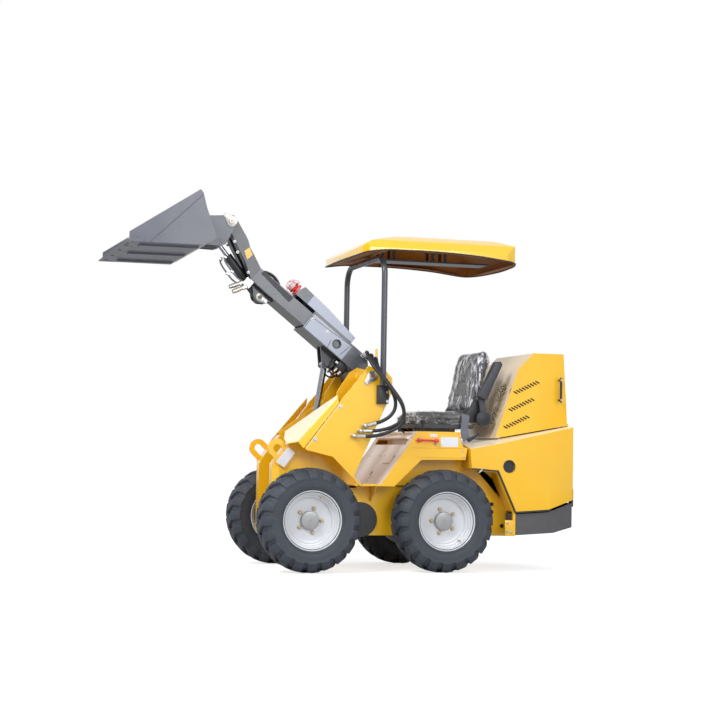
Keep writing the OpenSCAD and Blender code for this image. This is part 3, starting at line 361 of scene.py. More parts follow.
def turned(mesh, profile, centre, axis, steps=64):  # a profile of (radius, height) in millimetres, spun
    axis = axis.normalized()
    side = Vector((0, 0, 1)) if abs(axis.z) < 0.9 else Vector((1, 0, 0))
    side = (side - axis * side.dot(axis)).normalized()
    line = [mesh.verts.new(centre + (side * radius + axis * height) / 1000) for radius, height in profile]
    edges = [mesh.edges.new(pair) for pair in zip(line, line[1:])]
    bmesh.ops.spin(mesh, geom=line + edges, cent=centre, axis=axis, angle=math.tau, steps=steps,
                   use_merge=True)


def smoothRoute(points, step):  # a curve through the points, cut to even steps (metres)
    line = [Vector(point) for point in points]
    padded = [line[0] * 2 - line[1]] + line + [line[-1] * 2 - line[-2]]
    dense = []
    for a, b, c, d in zip(padded, padded[1:], padded[2:], padded[3:]):
        for share in (i / 12 for i in range(12)):
            dense.append(0.5 * ((2 * b) + (c - a) * share + (2 * a - 5 * b + 4 * c - d) * share ** 2
                                + (3 * b - a - 3 * c + d) * share ** 3))
    dense.append(line[-1])
    total = sum((q - p).length for p, q in zip(dense, dense[1:]))
    count = max(2, round(total / step))
    route, walked, index = [dense[0]], 0.0, 0
    for k in range(1, count):
        goal = total * k / count
        while walked + (dense[index + 1] - dense[index]).length < goal:
            walked += (dense[index + 1] - dense[index]).length
            index += 1
        leg = dense[index + 1] - dense[index]
        route.append(dense[index] + leg * ((goal - walked) / leg.length))
    return route + [dense[-1]]


def tube(mesh, route, widthAt, sides=12):  # a ring pushed along the route; widthAt(index) in millimetres
    before, after = [route[0]] + route[:-1], route[1:] + [route[-1]]
    aims = [(end - start).normalized() for start, end in zip(before, after)]
    side = aims[0].orthogonal().normalized()
    frames = []
    for place, aim in zip(route, aims):
        side = (side - aim * side.dot(aim)).normalized()
        frames.append((place, side.copy(), aim.cross(side)))
    ring = bmesh.ops.create_circle(mesh, cap_ends=True, segments=sides, radius=1.0)["verts"]
    angles = [math.atan2(vert.co.y, vert.co.x) for vert in ring]

    def lay(verts, index):
        place, east, north = frames[index]
        for vert, angle in zip(verts, angles):
            vert.co = place + (east * math.cos(angle) + north * math.sin(angle)) * widthAt(index) / 2000

    lay(ring, 0)
    loop = list({edge for vert in ring for edge in vert.link_edges})
    current = ring
    for index in range(1, len(route)):
        pairs = {}
        grown = bmesh.ops.extrude_edge_only(mesh, edges=loop)["geom"]
        fresh = [part for part in grown if isinstance(part, bmesh.types.BMVert)]
        freshSet = set(fresh)
        for vert in current:
            others = (edge.other_vert(vert) for edge in vert.link_edges)
            pairs[vert] = next(other for other in others if other in freshSet)
        current = [pairs[vert] for vert in current]
        lay(current, index)
        loop = [part for part in grown if isinstance(part, bmesh.types.BMEdge)
                and all(vert in freshSet for vert in part.verts)]
    bmesh.ops.contextual_create(mesh, geom=loop)


def soften(mesh, width, segments=2, above=30.0):  # bevel the sharp edges, width in millimetres
    edges = [edge for edge in mesh.edges if len(edge.link_faces) == 2
             and edge.calc_face_angle(0.0) > math.radians(above)]
    bmesh.ops.bevel(mesh, geom=edges, offset=width / 1000, offset_type="OFFSET", affect="EDGES",
                    segments=segments, profile=0.5, clamp_overlap=True, material=-1)


def madePiece(name, mesh, body, slot, finish=None, smooth=35.0, stands=()):  # smooth: up to this angle
    bmesh.ops.remove_doubles(mesh, verts=mesh.verts, dist=0.00001)
    bmesh.ops.recalc_face_normals(mesh, faces=mesh.faces)
    for face in mesh.faces:
        face.smooth = True
    for edge in mesh.edges:
        edge.smooth = len(edge.link_faces) == 2 and edge.calc_face_angle(0.0) < math.radians(smooth)
    data = bpy.data.meshes.new(name)
    mesh.to_mesh(data)
    mesh.free()
    data.materials.append(finish or finishes[slot])
    piece = bpy.data.objects.new(name, data)
    bpy.context.scene.collection.objects.link(piece)
    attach(piece, body)
    if stands:
        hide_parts(*stands)
    return piece


def softened(nodeName, width=2.0, segments=2, finish=None):  # a node's shape with its edges rounded
    mesh = bmesh.new()
    mesh.from_mesh(nodes[nodeName].data)
    bmesh.ops.remove_doubles(mesh, verts=mesh.verts, dist=0.00002)
    bmesh.ops.dissolve_limit(mesh, angle_limit=math.radians(0.5), verts=mesh.verts, edges=mesh.edges)
    piece = madePiece(nodeName + "Soft", mesh, bodyOf[nodeName], slotOf[nodeName], finish, 28.0, (nodeName,))
    bevel = piece.modifiers.new("bevel", "BEVEL")
    bevel.width = width / 1000
    bevel.segments = segments
    bevel.limit_method = "ANGLE"
    bevel.angle_limit = math.radians(30)
    bevel.harden_normals = True
    return piece


def glared(piece, aim, least, finish):  # faces that look along aim take a paler tone of the paint: painted glare
    piece.data.materials.append(finish)
    for face in piece.data.polygons:
        if face.normal.dot(aim.normalized()) > least:
            face.material_index = len(piece.data.materials) - 1


# small hardware

def hexBolt(mesh, place, aim, width=17.0, tall=6.0, washer=24.0):
    aim = aim.normalized() / 1000
    rod(mesh, place - aim * 1.0, place + aim * 1.6, washer, sides=20)
    rod(mesh, place + aim * 1.5, place + aim * (tall * 0.8), width, sides=6)
    rod(mesh, place + aim * (tall * 0.8 - 0.02), place + aim * tall, width, width * 0.8, sides=6)


def domeBolt(mesh, place, aim, width=18.0, tall=6.0):
    aim = aim.normalized() / 1000
    rod(mesh, place - aim * 1.0, place + aim * 1.2, width * 1.25, sides=20)
    rod(mesh, place + aim, place + aim * tall * 0.6, width, width * 0.86, sides=16)
    rod(mesh, place + aim * tall * 0.6, place + aim * tall, width * 0.86, width * 0.4, sides=16)


def strip(mesh, points, width, tall, normal):  # a flat bar through the points, on the face with that normal
    normal = normal.normalized()
    for start, end in zip(points, points[1:]):
        run = (end - start).normalized()
        side = run.cross(normal).normalized() * width / 2000
        low, lift = normal * -0.0008, normal * (tall / 1000 + 0.0008)
        plate(mesh, [start - side + low, end - side + low, end + side + low, start + side + low], lift)


left, forward, up = Vector((0, 1, 0)), Vector((1, 0, 0)), Vector((0, 0, 1))


# tyres: a spun carcass with its rings, and two staggered rows of lugs

tyre = {
    "section": [(154, 81), (159, 86), (168, 89), (170, 94), (176, 98.5), (180, 98), (183, 101.5),
                (198, 104.6), (214, 105.8), (226, 105.2), (230, 106.6), (233, 106.4), (235, 103.4), (246, 96),
                (256, 86), (266, 73), (272, 58), (276, 34)],
    "lugPlan": [(58, -5), (42, 20), (14, 62), (8, 74), (8, 108), (-44, 108), (-44, 70), (-30, 56), (20, -5)],
    # across the tread, and the radius there
    "lugTop": [(0, 292), (32.4, 292), (64.8, 286), (92.9, 270), (108, 240)],
    "lugs": 20, "foot": 232.0, "softLug": 2.4, "steps": 100,
}


def radiusAcross(y):
    stops = tyre["lugTop"]
    for (a, low), (b, high) in zip(stops, stops[1:]):
        if abs(y) <= b:
            return low + (high - low) * (abs(y) - a) / (b - a)
    return stops[-1][1]


def buildTyre():
    mesh = bmesh.new()
    half = tyre["section"]
    ring = half + [(276, 0)] + [(radius, -y) for radius, y in reversed(half)]
    turned(mesh, ring + [ring[0]], Vector(), left, tyre["steps"])
    bmesh.ops.remove_doubles(mesh, verts=mesh.verts, dist=0.00001)
    bmesh.ops.recalc_face_normals(mesh, faces=mesh.faces)
    for side in (1, -1):
        lug = bmesh.new()
        plate(lug, [Vector((x, side * y, tyre["foot"])) / 1000 for x, y in tyre["lugPlan"]], up * 0.06)
        for cut, radius in tyre["lugTop"][1:-1]:
            bmesh.ops.bisect_plane(lug, geom=lug.verts[:] + lug.edges[:] + lug.faces[:], dist=0.000001,
                                   plane_co=left * side * cut / 1000, plane_no=left)
        for vert in lug.verts:
            if vert.co.z > (tyre["foot"] + 30) / 1000:
                vert.co.z = radiusAcross(vert.co.y * 1000) / 1000
            vert.co.z = math.sqrt(vert.co.z ** 2 - vert.co.x ** 2)
        bmesh.ops.recalc_face_normals(lug, faces=lug.faces)
        soften(lug, tyre["softLug"], 2, 24.0)
        step = math.tau / tyre["lugs"]
        stagger = Matrix.Rotation(side * step / 4, 3, "Y")
        bmesh.ops.rotate(lug, verts=lug.verts, cent=Vector(), matrix=stagger)
        bmesh.ops.spin(lug, geom=lug.verts[:] + lug.edges[:] + lug.faces[:], cent=Vector(), axis=left,
                       angle=math.tau - step, steps=tyre["lugs"] - 1, use_duplicate=True)
        part = bpy.data.meshes.new("lugs")
        lug.to_mesh(part)
        lug.free()
        mesh.from_mesh(part)
        bpy.data.meshes.remove(part)
    return mesh


# rims: stepped barrel, flat disc, hub cap, nuts and a valve

rim = {
    "front": [(0, 18), (113, 18), (119, 18.6), (124, 20.5), (127.5, 26), (129, 36), (131, 39), (138, 41),
              (140, 44), (141.5, 54), (143, 56.5), (148, 58), (149.5, 60), (151, 79), (153, 81.5), (159, 83),
              (160.5, 86), (161.5, 91), (163.5, 92.9), (166.5, 92.9), (168, 91), (168, 86.5)],
    "back": [(154, 82.9), (154, 42.9), (134, 22.9), (134, -32.9), (154, -52.9), (154, -82.9), (168, -86.9),
             (168, -91), (166, -92.9), (162, -92.9), (158, -88), (148, -82), (148, -49), (127, -31),
             (127, 4), (120, 10), (0, 10)],
    "cap": [(0, 41.4), (5, 41.6), (7, 43.6), (44, 43.8), (49, 42.6), (52, 39), (53, 34), (53, 17)],
    "nutRing": 70.0, "nut": 21.0, "nutTall": 9.0, "stud": 11.0,
    "turn": {"front_left": -2.0, "front_right": 21.0, "rear_left": 35.0, "rear_right": -14.0},
    "valve": {"front_left": 66.0, "front_right": 140.0, "rear_left": -52.0, "rear_right": 30.0},
}


def buildRim(side, turn, valve):
    metal, nuts, cap = bmesh.new(), bmesh.new(), bmesh.new()
    turned(metal, rim["front"] + rim["back"], Vector(), left, 96)
    turned(cap, rim["cap"], Vector(), left, 48)
    rod(cap, left * 0.0432, left * 0.0444, 12, 9, sides=16)
    angle = math.radians(valve)
    foot = Vector((-math.cos(angle) * 137, 41, math.sin(angle) * 137)) / 1000
    rod(nuts, foot - left * 0.012, foot + left * 0.006, 11, 9, sides=16)
    rod(nuts, foot + left * 0.005, foot + left * 0.03, 6.5, sides=12)
    rod(nuts, foot + left * 0.026, foot + left * 0.036, 8.5, sides=12)
    for k in range(5):
        spot = math.radians(turn + 72 * k)
        foot = Vector((-math.cos(spot) * rim["nutRing"], 18, math.sin(spot) * rim["nutRing"])) / 1000
        top = foot + left * rim["nutTall"] / 1000
        rod(nuts, foot - left * 0.001, foot + left * 0.003, rim["nut"] + 5, rim["nut"] + 1, sides=24)
        rod(nuts, foot + left * 0.002, top, rim["nut"], sides=6)
        rod(nuts, top, top + left * 0.002, rim["nut"], 15, sides=6)
        rod(nuts, top, top + left * 0.0035, rim["stud"], 9, sides=16)
    for mesh in (metal, nuts, cap):
        bmesh.ops.scale(mesh, vec=(1, side, 1), verts=mesh.verts)
    return metal, nuts, cap


for wheel in ("front_left", "front_right", "rear_left", "rear_right"):
    side = 1 if wheel.endswith("left") else -1
    hub = Vector(joints["wheel_" + wheel]["pos_m"])
    rubber = buildTyre()
    metal, nuts, cap = buildRim(side, rim["turn"][wheel], rim["valve"][wheel])
    for mesh in (rubber, metal, nuts, cap):
        bmesh.ops.translate(mesh, vec=hub, verts=mesh.verts)
    body = "wheel_" + wheel
    madePiece("tyre_" + wheel, rubber, body, "tyre_rubber", smooth=32.0, stands=["tyre_" + wheel])
    madePiece("rim_" + wheel, metal, body, "rim_paint", smooth=28.0, stands=["rim_" + wheel])
    madePiece("cap_" + wheel, cap, body, "zinc_steel", extras["capGrey"], 28.0)
    madePiece("nuts_" + wheel, nuts, body, "zinc_steel", extras["brassNut"], 30.0)
print("wheels made")


# plates and tubes with their edges rounded

softPlates = {  # width of the rounding in millimetres
    "main_frame": 2.0, "nose_posts": 3.0, "tower_plates": 1.6, "front_cover": 1.2, "fender_sides": 1.6,
    "front_panel": 1.4, "seat_box": 3.0, "rear_body": 2.2, "bumper": 3.0, "hood": 1.6, "boom_pin": 1.6,
    "boom_head": 2.0, "bucket": 1.4, "bucket_mount": 1.8, "levers": 1.0, "couplers": 1.2,
    "lift_barrel": 1.2, "lift_rod": 1.2, "tilt_barrel": 1.2, "tilt_rod": 1.2, "engine": 6.0,
    "wheel_motors": 2.0, "hood_handles": 1.5, "roll_hoop": 1.2,
}
shownFinish = {"wheel_motors": finishes["dark_paint"]}
glares = {  # plate, the way that its faces with painted glare look, how closely, and the tone of that glare
    "front_cover": (Vector((0.75, 0, 0.6)), 0.75, "creamGlare"),
    "front_panel": (Vector((0.82, 0, 0.56)), 0.9, "panelGlare"),
    "hood": (Vector((0.94, 0, 0.34)), 0.8, "hoodGlare"),
    "rear_body": (Vector((0.2, 0, 0.98)), 0.9, "creamGlare"),
    "seat_box": (Vector((1, 0, 0)), 0.9, "panelGlare"),
}
for node, width in softPlates.items():
    softPlate = softened(node, width, 2, shownFinish.get(node))
    if node in glares:
        aim, least, tone = glares[node]
        glared(softPlate, aim, least, extras[tone])
print("plates softened")
# small shapes that repeat

def ringAt(mesh, centre, axis, outer, inner, tall, steps=32):  # radii and height in millimetres
    turned(mesh, [(inner, 0), (outer, 0), (outer, tall), (inner, tall), (inner, 0)], centre, axis, steps)


def flagPlate(mesh, centre, tip, axis, big, small, tall):  # a teardrop keeper plate round a pin
    run = (tip - centre).normalized()
    side = axis.cross(run).normalized()
    corners = []
    for middle, radius, first in ((centre, big, 90), (tip, small, -90)):
        for k in range(13):
            turn = math.radians(first + 15 * k)
            corners.append(middle + (run * math.cos(turn) + side * math.sin(turn)) * radius / 1000)
    plate(mesh, corners, axis * tall / 1000)


def keeper(name, body, centre, tip, axis, big=30.0, small=13.0, tall=4.0, cap=15.0):
    metal, red = bmesh.new(), bmesh.new()
    flagPlate(metal, centre, tip, axis, big, small, tall)
    soften(metal, 0.8, 2)
    hexBolt(metal, tip + axis * tall / 1000, axis, 13, 6, 18)
    rod(metal, centre + axis * (tall - 0.5) / 1000, centre + axis * (tall + 3) / 1000, cap + 9, cap + 7)
    rod(red, centre + axis * (tall + 2.5) / 1000, centre + axis * (tall + 4.5) / 1000, cap, cap * 0.86)
    madePiece(name, metal, body, "zinc_steel")
    madePiece(name + "Cap", red, body, "lamp_plastic", extras["redPlastic"])


def boltsAt(name, body, spots, kind=hexBolt, slot="zinc_steel", place=at, **sizes):
    mesh = bmesh.new()
    for x, y, z in spots:
        for side in (1, -1):
            kind(mesh, place(x, y * side, z), left * side, **sizes)
    madePiece(name, mesh, body, slot)


def linesAt(name, body, lines, slot, finish, place=at, width=2.4, tall=0.5):
    mesh = bmesh.new()
    for line in lines:
        for side in (1, -1):
            strip(mesh, [place(x, y * side, z) for x, y, z in line], width, tall, left * side)
    madePiece(name, mesh, body, slot, finish)


def platesAt(name, body, y, outline, thick, slot, finish=None, place=at):  # one outward from y on each side
    mesh = bmesh.new()
    for side in (1, -1):
        plate(mesh, [place(x, side * y, z) for x, z in outline], left * side * thick / 1000)
    madePiece(name, mesh, body, slot, finish)


# arm: pale upper faces, painted shade on the underside, seams and a line of painted shade, access rings, labels
# and pin keepers

def bandPaint(name, fromU, toU, lowV, highV, outside, lowSide):  # arm paint, a pale band on its sides and painted shade on its underside
    look = {"low": (78, 82, 91), "high": (94, 99, 108), "pale": (166, 174, 194), "under": (26, 28, 32)}
    paint = Finish(name, linear(*look["high"]), 0.36, coat=0.4)
    raw = paint.node("ShaderNodeTexCoord", output=3)
    parts = paint.node("ShaderNodeSeparateXYZ", {}, {"Vector": raw}, 1)
    local = paint.node("ShaderNodeVectorMath", {"operation": "SUBTRACT"}, {0: raw, 1: pivot})
    reach = paint.node("ShaderNodeVectorMath", {"operation": "DOT_PRODUCT"}, {0: local, 1: along}, 1)
    height = paint.node("ShaderNodeVectorMath", {"operation": "DOT_PRODUCT"}, {0: local, 1: across}, 1)
    inside = (reach > fromU / 1000) * (reach < toU / 1000)
    inside = inside * (height > lowV / 1000) * (height < highV / 1000)
    shown = inside * (parts.math("ABSOLUTE") > outside / 1000) * 0.92
    body = paint.blend(paint.noise(7.0, 3.0), linear(*look["low"]), linear(*look["high"]))
    # below lowSide + 3 mm the paint turns near black: painted shade on the underside
    undersideShade = (height < (lowSide + 3) / 1000) * 0.85
    sides = paint.blend(shown, body, linear(*look["pale"]))
    paint.set("Base Color", paint.blend(undersideShade, sides, linear(*look["under"])))
    paint.set("Roughness", paint.noise(16.0, 3.0) * 0.14 + 0.3)
    paint.bump(paint.noise(380.0, 2.0), 0.06, 0.0004)
    return paint.material


softened("boom", 2.2, 2, bandPaint("boomPaint", 150, 450, 14, 112, 108.5, 8))
softened("hose_cover", 2.0, 2, bandPaint("coverPaint", 162, 510, 132, 240, 90.0, 100))
softened("inner_boom", 2.2, 2, bandPaint("innerPaint", 0, 0, 0, 1, 200.0, 21))

# dark lines: seam joints, and along the top the painted shade of the gap below the upper box
linesAt("boomSeamsAndShade", "boom", [
    [(160, 110, 107), (176, 110, 28)], [(271, 110, 63), (260, 110, 12)],
    [(447, 110, 90), (306, 110, 99), (151, 110, 115)], [(440, 110, 12), (440, 110, 120)],
], "dark_paint", extras["seamAndGapShade"], onArm, width=2.6)
boltsAt("boomBolts", "boom", [(430, 110, 84), (317, 110, 84)], domeBolt, place=onArm, width=14, tall=5)
accessRing = {"place": (230, 65), "outer": 27.0, "inner": 22.4, "tall": 2.2}
rings = bmesh.new()
for side in (1, -1):
    u, v = accessRing["place"]
    middle = onArm(u, side * 109.5, v)
    ringAt(rings, middle, left * side, accessRing["outer"], accessRing["inner"], accessRing["tall"])
madePiece("accessRings", rings, "boom", "black_plastic")

slider = [(594, 104), (824, 110), (829, 89), (599, 68)]
platesAt("sliderStrips", "inner_boom", 96.4, slider, 2.4, "grey_paint", extras["padGrey"], onArm)
headLabel = [(985, 124), (975, 158), (934, 138), (940, 96)]
platesAt("headLabels", "inner_boom", 96.9, headLabel, 0.8, "yellow_paint", extras["amberLabel"], onArm)
headBolts = [(889, 97, 44), (1010, 97, 92), (1062, 97, 128)]
boltsAt("headBolts", "inner_boom", headBolts, domeBolt, place=onArm, width=13, tall=5)

for side, mark in ((1, "Left"), (-1, "Right")):
    out = left * side
    keeper("pivotKeeper" + mark, "chassis", at(-365, side * 366.4, 1104), at(-332, side * 366.4, 1067), out)
    keeper("bucketKeeper" + mark, "bucket", at(412.2, side * 118.2, 1977.8), at(445, side * 118.2, 2008),
           out, 34, 14, 5, 16)
    keeper("tiltKeeper" + mark, "inner_boom", onArm(740, side * 46.6, -10), onArm(700, side * 46.6, -8), out,
           26, 12, 4, 13)

pipes = bmesh.new()
pipeLine = [(1046, 58, 42), (1040, 60, 20), (1010, 62, 4), (960, 64, -8), (915, 66, -16), (872, 70, -10)]
for side in (1, -1):
    route = smoothRoute([onArm(u, side * y, v) for u, y, v in pipeLine], 0.012)
    tube(pipes, route, lambda index: 10.0, 10)
    for u, y, v in ((1043, 59, 30), (960, 64, -8)):
        rod(pipes, onArm(u - 8, side * y, v + 2), onArm(u + 8, side * y, v - 2), 17, sides=6)
madePiece("headPipes", pipes, "inner_boom", "chrome_steel")

coupling = bmesh.new()
for y, start, end in ((66, (866, -7), (916, -87)), (90, (842, -17), (886, -101))):
    low, high = onArm(start[0], y, start[1]), onArm(end[0], y, end[1])
    for first, last, width, sides in ((0.1, 0.34, 29, 6), (0.56, 0.84, 27.4, 24)):
        rod(coupling, low.lerp(high, first), low.lerp(high, last), width, sides=sides)
madePiece("couplerSleeves", coupling, "inner_boom", "zinc_steel")

# valve block and its pipes under the arm's tail
valve = {"outline": [(92, 9), (92, -34), (148, -34), (148, 9)], "y": 52, "wide": 46,
         "portY": 74, "ports": (106, 134), "nut": 18, "neck": 13}
block, unions = bmesh.new(), bmesh.new()
for side in (1, -1):
    corners = [onArm(u, side * valve["y"], v) for u, v in valve["outline"]]
    plate(block, corners, left * side * valve["wide"] / 1000)
    y = side * valve["portY"]
    for u in valve["ports"]:
        rod(unions, onArm(u, y, -30), onArm(u, y, -50), valve["nut"], sides=6)
        rod(unions, onArm(u, y, -48), onArm(u, y, -60), valve["neck"], sides=16)
    rod(unions, onArm(146, y, -10), onArm(164, y, -10), valve["nut"], sides=6)
soften(block, 2.0, 2)
madePiece("valveBlock", block, "boom", "black_plastic")
madePiece("valveUnions", unions, "boom", "zinc_steel")


# work lamp: red bracket and cup, clear front, wire cage

lamp = {"u": 617.0, "y": 62.0, "v": 162.0, "wire": 2.6, "cage": 44.0, "dome": 50.0}
cup, glass, cage = bmesh.new(), bmesh.new(), bmesh.new()
foot = [onArm(u, lamp["y"] - 26, v) for u, v in ((597, 130), (611, 130), (611, 192), (597, 192))]
plate(cup, foot, left * 0.052)
soften(cup, 2.0, 2)
centre = onArm(lamp["u"], lamp["y"], lamp["v"])
cupLine = [(0, -12), (20, -12), (22, -8), (22, 0), (31, 2), (33, 6), (33, 14), (30, 15), (0, 15)]
turned(cup, cupLine, centre, along, 40)
turned(glass, [(0, 41), (12, 40), (22, 35), (27, 27), (28, 14), (0, 14)], centre, along, 32)
for radius, u in ((lamp["cage"], 4), (34, 34)):
    turns = [k * math.tau / 28 for k in range(29)]
    loop = [centre + (across * math.cos(turn) * radius + left * math.sin(turn) * radius + along * u) / 1000
            for turn in turns]
    tube(cage, loop, lambda index: lamp["wire"], 8)
for k in range(3):
    spread = across * math.cos(k * math.pi / 3) + left * math.sin(k * math.pi / 3)
    arc = [centre + (spread * math.cos(t * math.pi / 16) * lamp["cage"]
                     + along * (4 + math.sin(t * math.pi / 16) * lamp["dome"])) / 1000 for t in range(17)]
    tube(cage, arc, lambda index: lamp["wire"], 8)
madePiece("lampCup", cup, "boom", "lamp_plastic", stands=["work_lamp"])
madePiece("lampCage", cage, "boom", "lamp_plastic", extras["redPlastic"])
madePiece("lampGlass", glass, "boom", "lamp_plastic", extras["clearLens"])


# bucket: fold lines in painted shade, pale corner pieces, edge bolts, and the slots beside them, dark with
# painted shade

linesAt("bucketFolds", "bucket", [[(659, 525, 2055), (941, 525, 1785)]], "bucket_paint", extras["deepFold"],
        width=3.4, tall=0.4)
edgeSlots = {"x": (1008.0, 1034.0), "z": 1782.8, "y": (-470, -220, 60, 300, 470), "long": 13.0, "wide": 8.0}
# the slots are dark strips: painted shade inside them
slots, heads = bmesh.new(), bmesh.new()
for y in edgeSlots["y"]:
    for x, shift in zip(edgeSlots["x"], (0, 34)):
        middle = at(x, y + shift - 17, edgeSlots["z"])
        reach = forward * edgeSlots["long"] / 2000
        strip(slots, [middle - reach, middle + reach], edgeSlots["wide"], 0.6, -up)
    domeBolt(heads, at(1046, y + 40 if y < 400 else y - 60, edgeSlots["z"]), -up, 15, 3)
madePiece("edgeSlots", slots, "bucket", "bucket_paint", extras["seamAndGapShade"])
madePiece("edgeBolts", heads, "bucket", "bucket_paint", extras["deepFold"])
corner = [(981, 1790), (1052, 1802), (1064, 1800), (1062, 1786), (985, 1784)]
platesAt("edgeCorners", "bucket", 534.0, corner, 0.8, "bucket_paint", extras["paleBand"])
print("arm and bucket details made")
# nose and tower

noseLabel = {"corners": [(85, 695), (44, 663), (106, 581), (154, 613)], "backing": 5.0}
backs = bmesh.new()
middle = Vector((97, 0, 638))
for side in (1, -1):
    grown = []
    for x, z in noseLabel["corners"]:
        away = Vector((x, 0, z)) - middle
        spot = middle + away * (1 + noseLabel["backing"] / away.length)
        grown.append(at(spot.x, side * 227.5, spot.z))
    plate(backs, grown, left * side * 0.0148)
soften(backs, 1.6, 2)
madePiece("noseLabelPlates", backs, "chassis", "yellow_paint")
platesAt("noseLabels", "chassis", 242.2, noseLabel["corners"], 0.9, "yellow_paint", extras["blankLabel"])

# small webs behind the tower's feet
gusset = {"x": -411.0, "thick": 6.0, "corners": [(229, 483), (352, 483), (229, 391)]}
webs = bmesh.new()
for side in (1, -1):
    corners = [at(gusset["x"], side * y, z) for y, z in gusset["corners"]]
    plate(webs, corners, forward * gusset["thick"] / 1000)
soften(webs, 1.0, 2)
madePiece("footGussets", webs, "chassis", "yellow_paint")

boltsAt("towerBolts", "chassis", [(-182, 366, 929), (-38, 366, 742)], width=17, tall=8, washer=25)
boltsAt("hoopBolts", "chassis", [(-446, 408, 1015), (-446, 408, 963)], width=14, tall=7, washer=18)
boltsAt("hoodBolts", "hood", [(-1160, 300, 775)], domeBolt, width=14, tall=5)
boltsAt("frameBolts", "chassis", [(-1150, 228, 384), (-1150, 228, 339), (-1214, 228, 258)],
        slot="black_plastic", width=17, tall=9, washer=24)
# a pale line along the tower's bent edge: painted highlight
linesAt("towerFolds", "chassis", [[(-183, 366, 945), (12, 366, 690)]], "yellow_paint", extras["foldHighlight"],
        width=2.2)
# darker lines along the fender's bends: painted shade of the creases
fenderFolds = [[(-599, 366, 704), (-929, 366, 705)], [(-637, 366, 652), (-930, 366, 649)]]
linesAt("fenderFolds", "chassis", fenderFolds, "yellow_paint", extras["foldShade"], width=2.0, tall=0.4)
fenderBolts = [(-746, 366, 729), (-918, 366, 690), (-924, 366, 656)]
boltsAt("fenderBolts", "chassis", fenderBolts, domeBolt, width=10, tall=4)

hoopFoot = {"x": (-454.5, -394), "y": (378.5, 408), "z": (950, 1054)}
boots = bmesh.new()
for side in (1, -1):
    (back, front), (low, high) = hoopFoot["x"], hoopFoot["z"]
    near, far = sorted(side * y for y in hoopFoot["y"])
    box(boots, at(back, near, low), at(front, far, high))
soften(boots, 3.0, 3)
madePiece("hoopFeet", boots, "chassis", "dark_paint")

labels = bmesh.new()
for side in (1, -1):
    for low, high in (((-888, 713), (-782, 769)), ((-761, 768), (-717, 785))):
        corners = (low, (high[0], low[1]), high, (low[0], high[1]))
        plate(labels, [at(x, side * 366.2, z) for x, z in corners], left * side * 0.0008)
madePiece("fenderLabels", labels, "chassis", "yellow_paint", extras["blankLabel"])

catch = {"ends": ((-652, 748), (-752, 747)), "bar": ((-632, 381, 749), (-766, 381, 747)), "wide": 12}
red, shafts = bmesh.new(), bmesh.new()
for x, z in catch["ends"]:
    rod(red, at(x, 372, z), at(x, 392, z), 26, 22, sides=20)
    rod(shafts, at(x, 365, z), at(x, 373, z), 16, sides=12)
rod(red, at(*catch["bar"][0]), at(*catch["bar"][1]), catch["wide"], sides=12)
rod(shafts, at(-752, 376, 736), at(-752, 376, 722), 9, sides=10)
soften(red, 1.6, 2)
madePiece("catchHandle", red, "chassis", "lamp_plastic", extras["redPlastic"])
madePiece("catchShafts", shafts, "chassis", "zinc_steel")


# inner walls of the arches, and the plates at the foot of the rear arch

arch = {"thick": 4.0, "walls": [
    (224.0, [(-58.5, 470), (-58.5, 690), (-150, 690), (-322, 530), (-322, 470)]),
    (249.0, [(-448, 488), (-592, 704), (-654, 704), (-654, 488)]),
    (229.0, [(-946, 478), (-946, 690), (-1100, 640), (-1222, 400), (-1222, 478)]),
]}
walls, feet, footBolts = bmesh.new(), bmesh.new(), bmesh.new()
for side in (1, -1):
    for y, outline in arch["walls"]:
        plate(walls, [at(x, side * y, z) for x, z in outline], left * side * arch["thick"] / 1000)
    low, high = sorted((side * 380.0, side * 391.0))
    box(feet, at(-1234, low, 206.5), at(-1172, high, 298))
    for x, z in ((-1211, 228), (-1184, 232), (-1186, 282)):
        hexBolt(footBolts, at(x, side * 391, z), left * side, 13, 6, 18)
soften(feet, 2.0, 2)
madePiece("archWalls", walls, "chassis", "yellow_paint")
madePiece("archFeet", feet, "chassis", "yellow_paint")
madePiece("archFootBolts", footBolts, "chassis", "zinc_steel")


# foot well: latch, slots and groove dark with painted shade, and the tray's shelf in a pale tone of painted
# glare

panelNormal = Vector((220, 0, 150)).normalized()


def onPanel(y, z):  # a point on the sloping panel at that height
    return at(-435 - (z - 492) * 150 / 220, y, z) + panelNormal * 0.0003


marks, latch, shelf = bmesh.new(), bmesh.new(), bmesh.new()
# the groove and slots are dark strips: painted shade in them
strip(marks, [onPanel(109, 610), onPanel(232, 611), onPanel(246, 658)], 2.6, 0.5, panelNormal)
for k in range(5):
    strip(marks, [onPanel(24 + k * 2, 540 - k * 10), onPanel(26 + k * 2, 535 - k * 10)], 5, 0.6, panelNormal)
strip(marks, [onPanel(18, 562), onPanel(20, 550)], 9, 1.2, panelNormal)
for y, z in ((55, 656), (233, 653), (-233, 653), (-55, 656)):
    domeBolt(latch, onPanel(y, z), panelNormal, 9, 4)
rod(latch, onPanel(20, 548), onPanel(20, 548) + panelNormal * 0.008, 14, sides=16)
shelfLine = [(-604, 752), (-648, 760), (-648, 782), (-642, 784), (-596, 762)]
plate(shelf, [at(x, -298, z) for x, z in shelfLine], left * 0.596)
soften(shelf, 1.2, 2)
madePiece("panelMarks", marks, "chassis", "black_plastic", extras["seamAndGapShade"])
madePiece("panelBolts", latch, "chassis", "zinc_steel")
# the shelf takes the pale panel tone: painted glare
madePiece("trayShelf", shelf, "chassis", "yellow_paint", extras["panelGlare"])

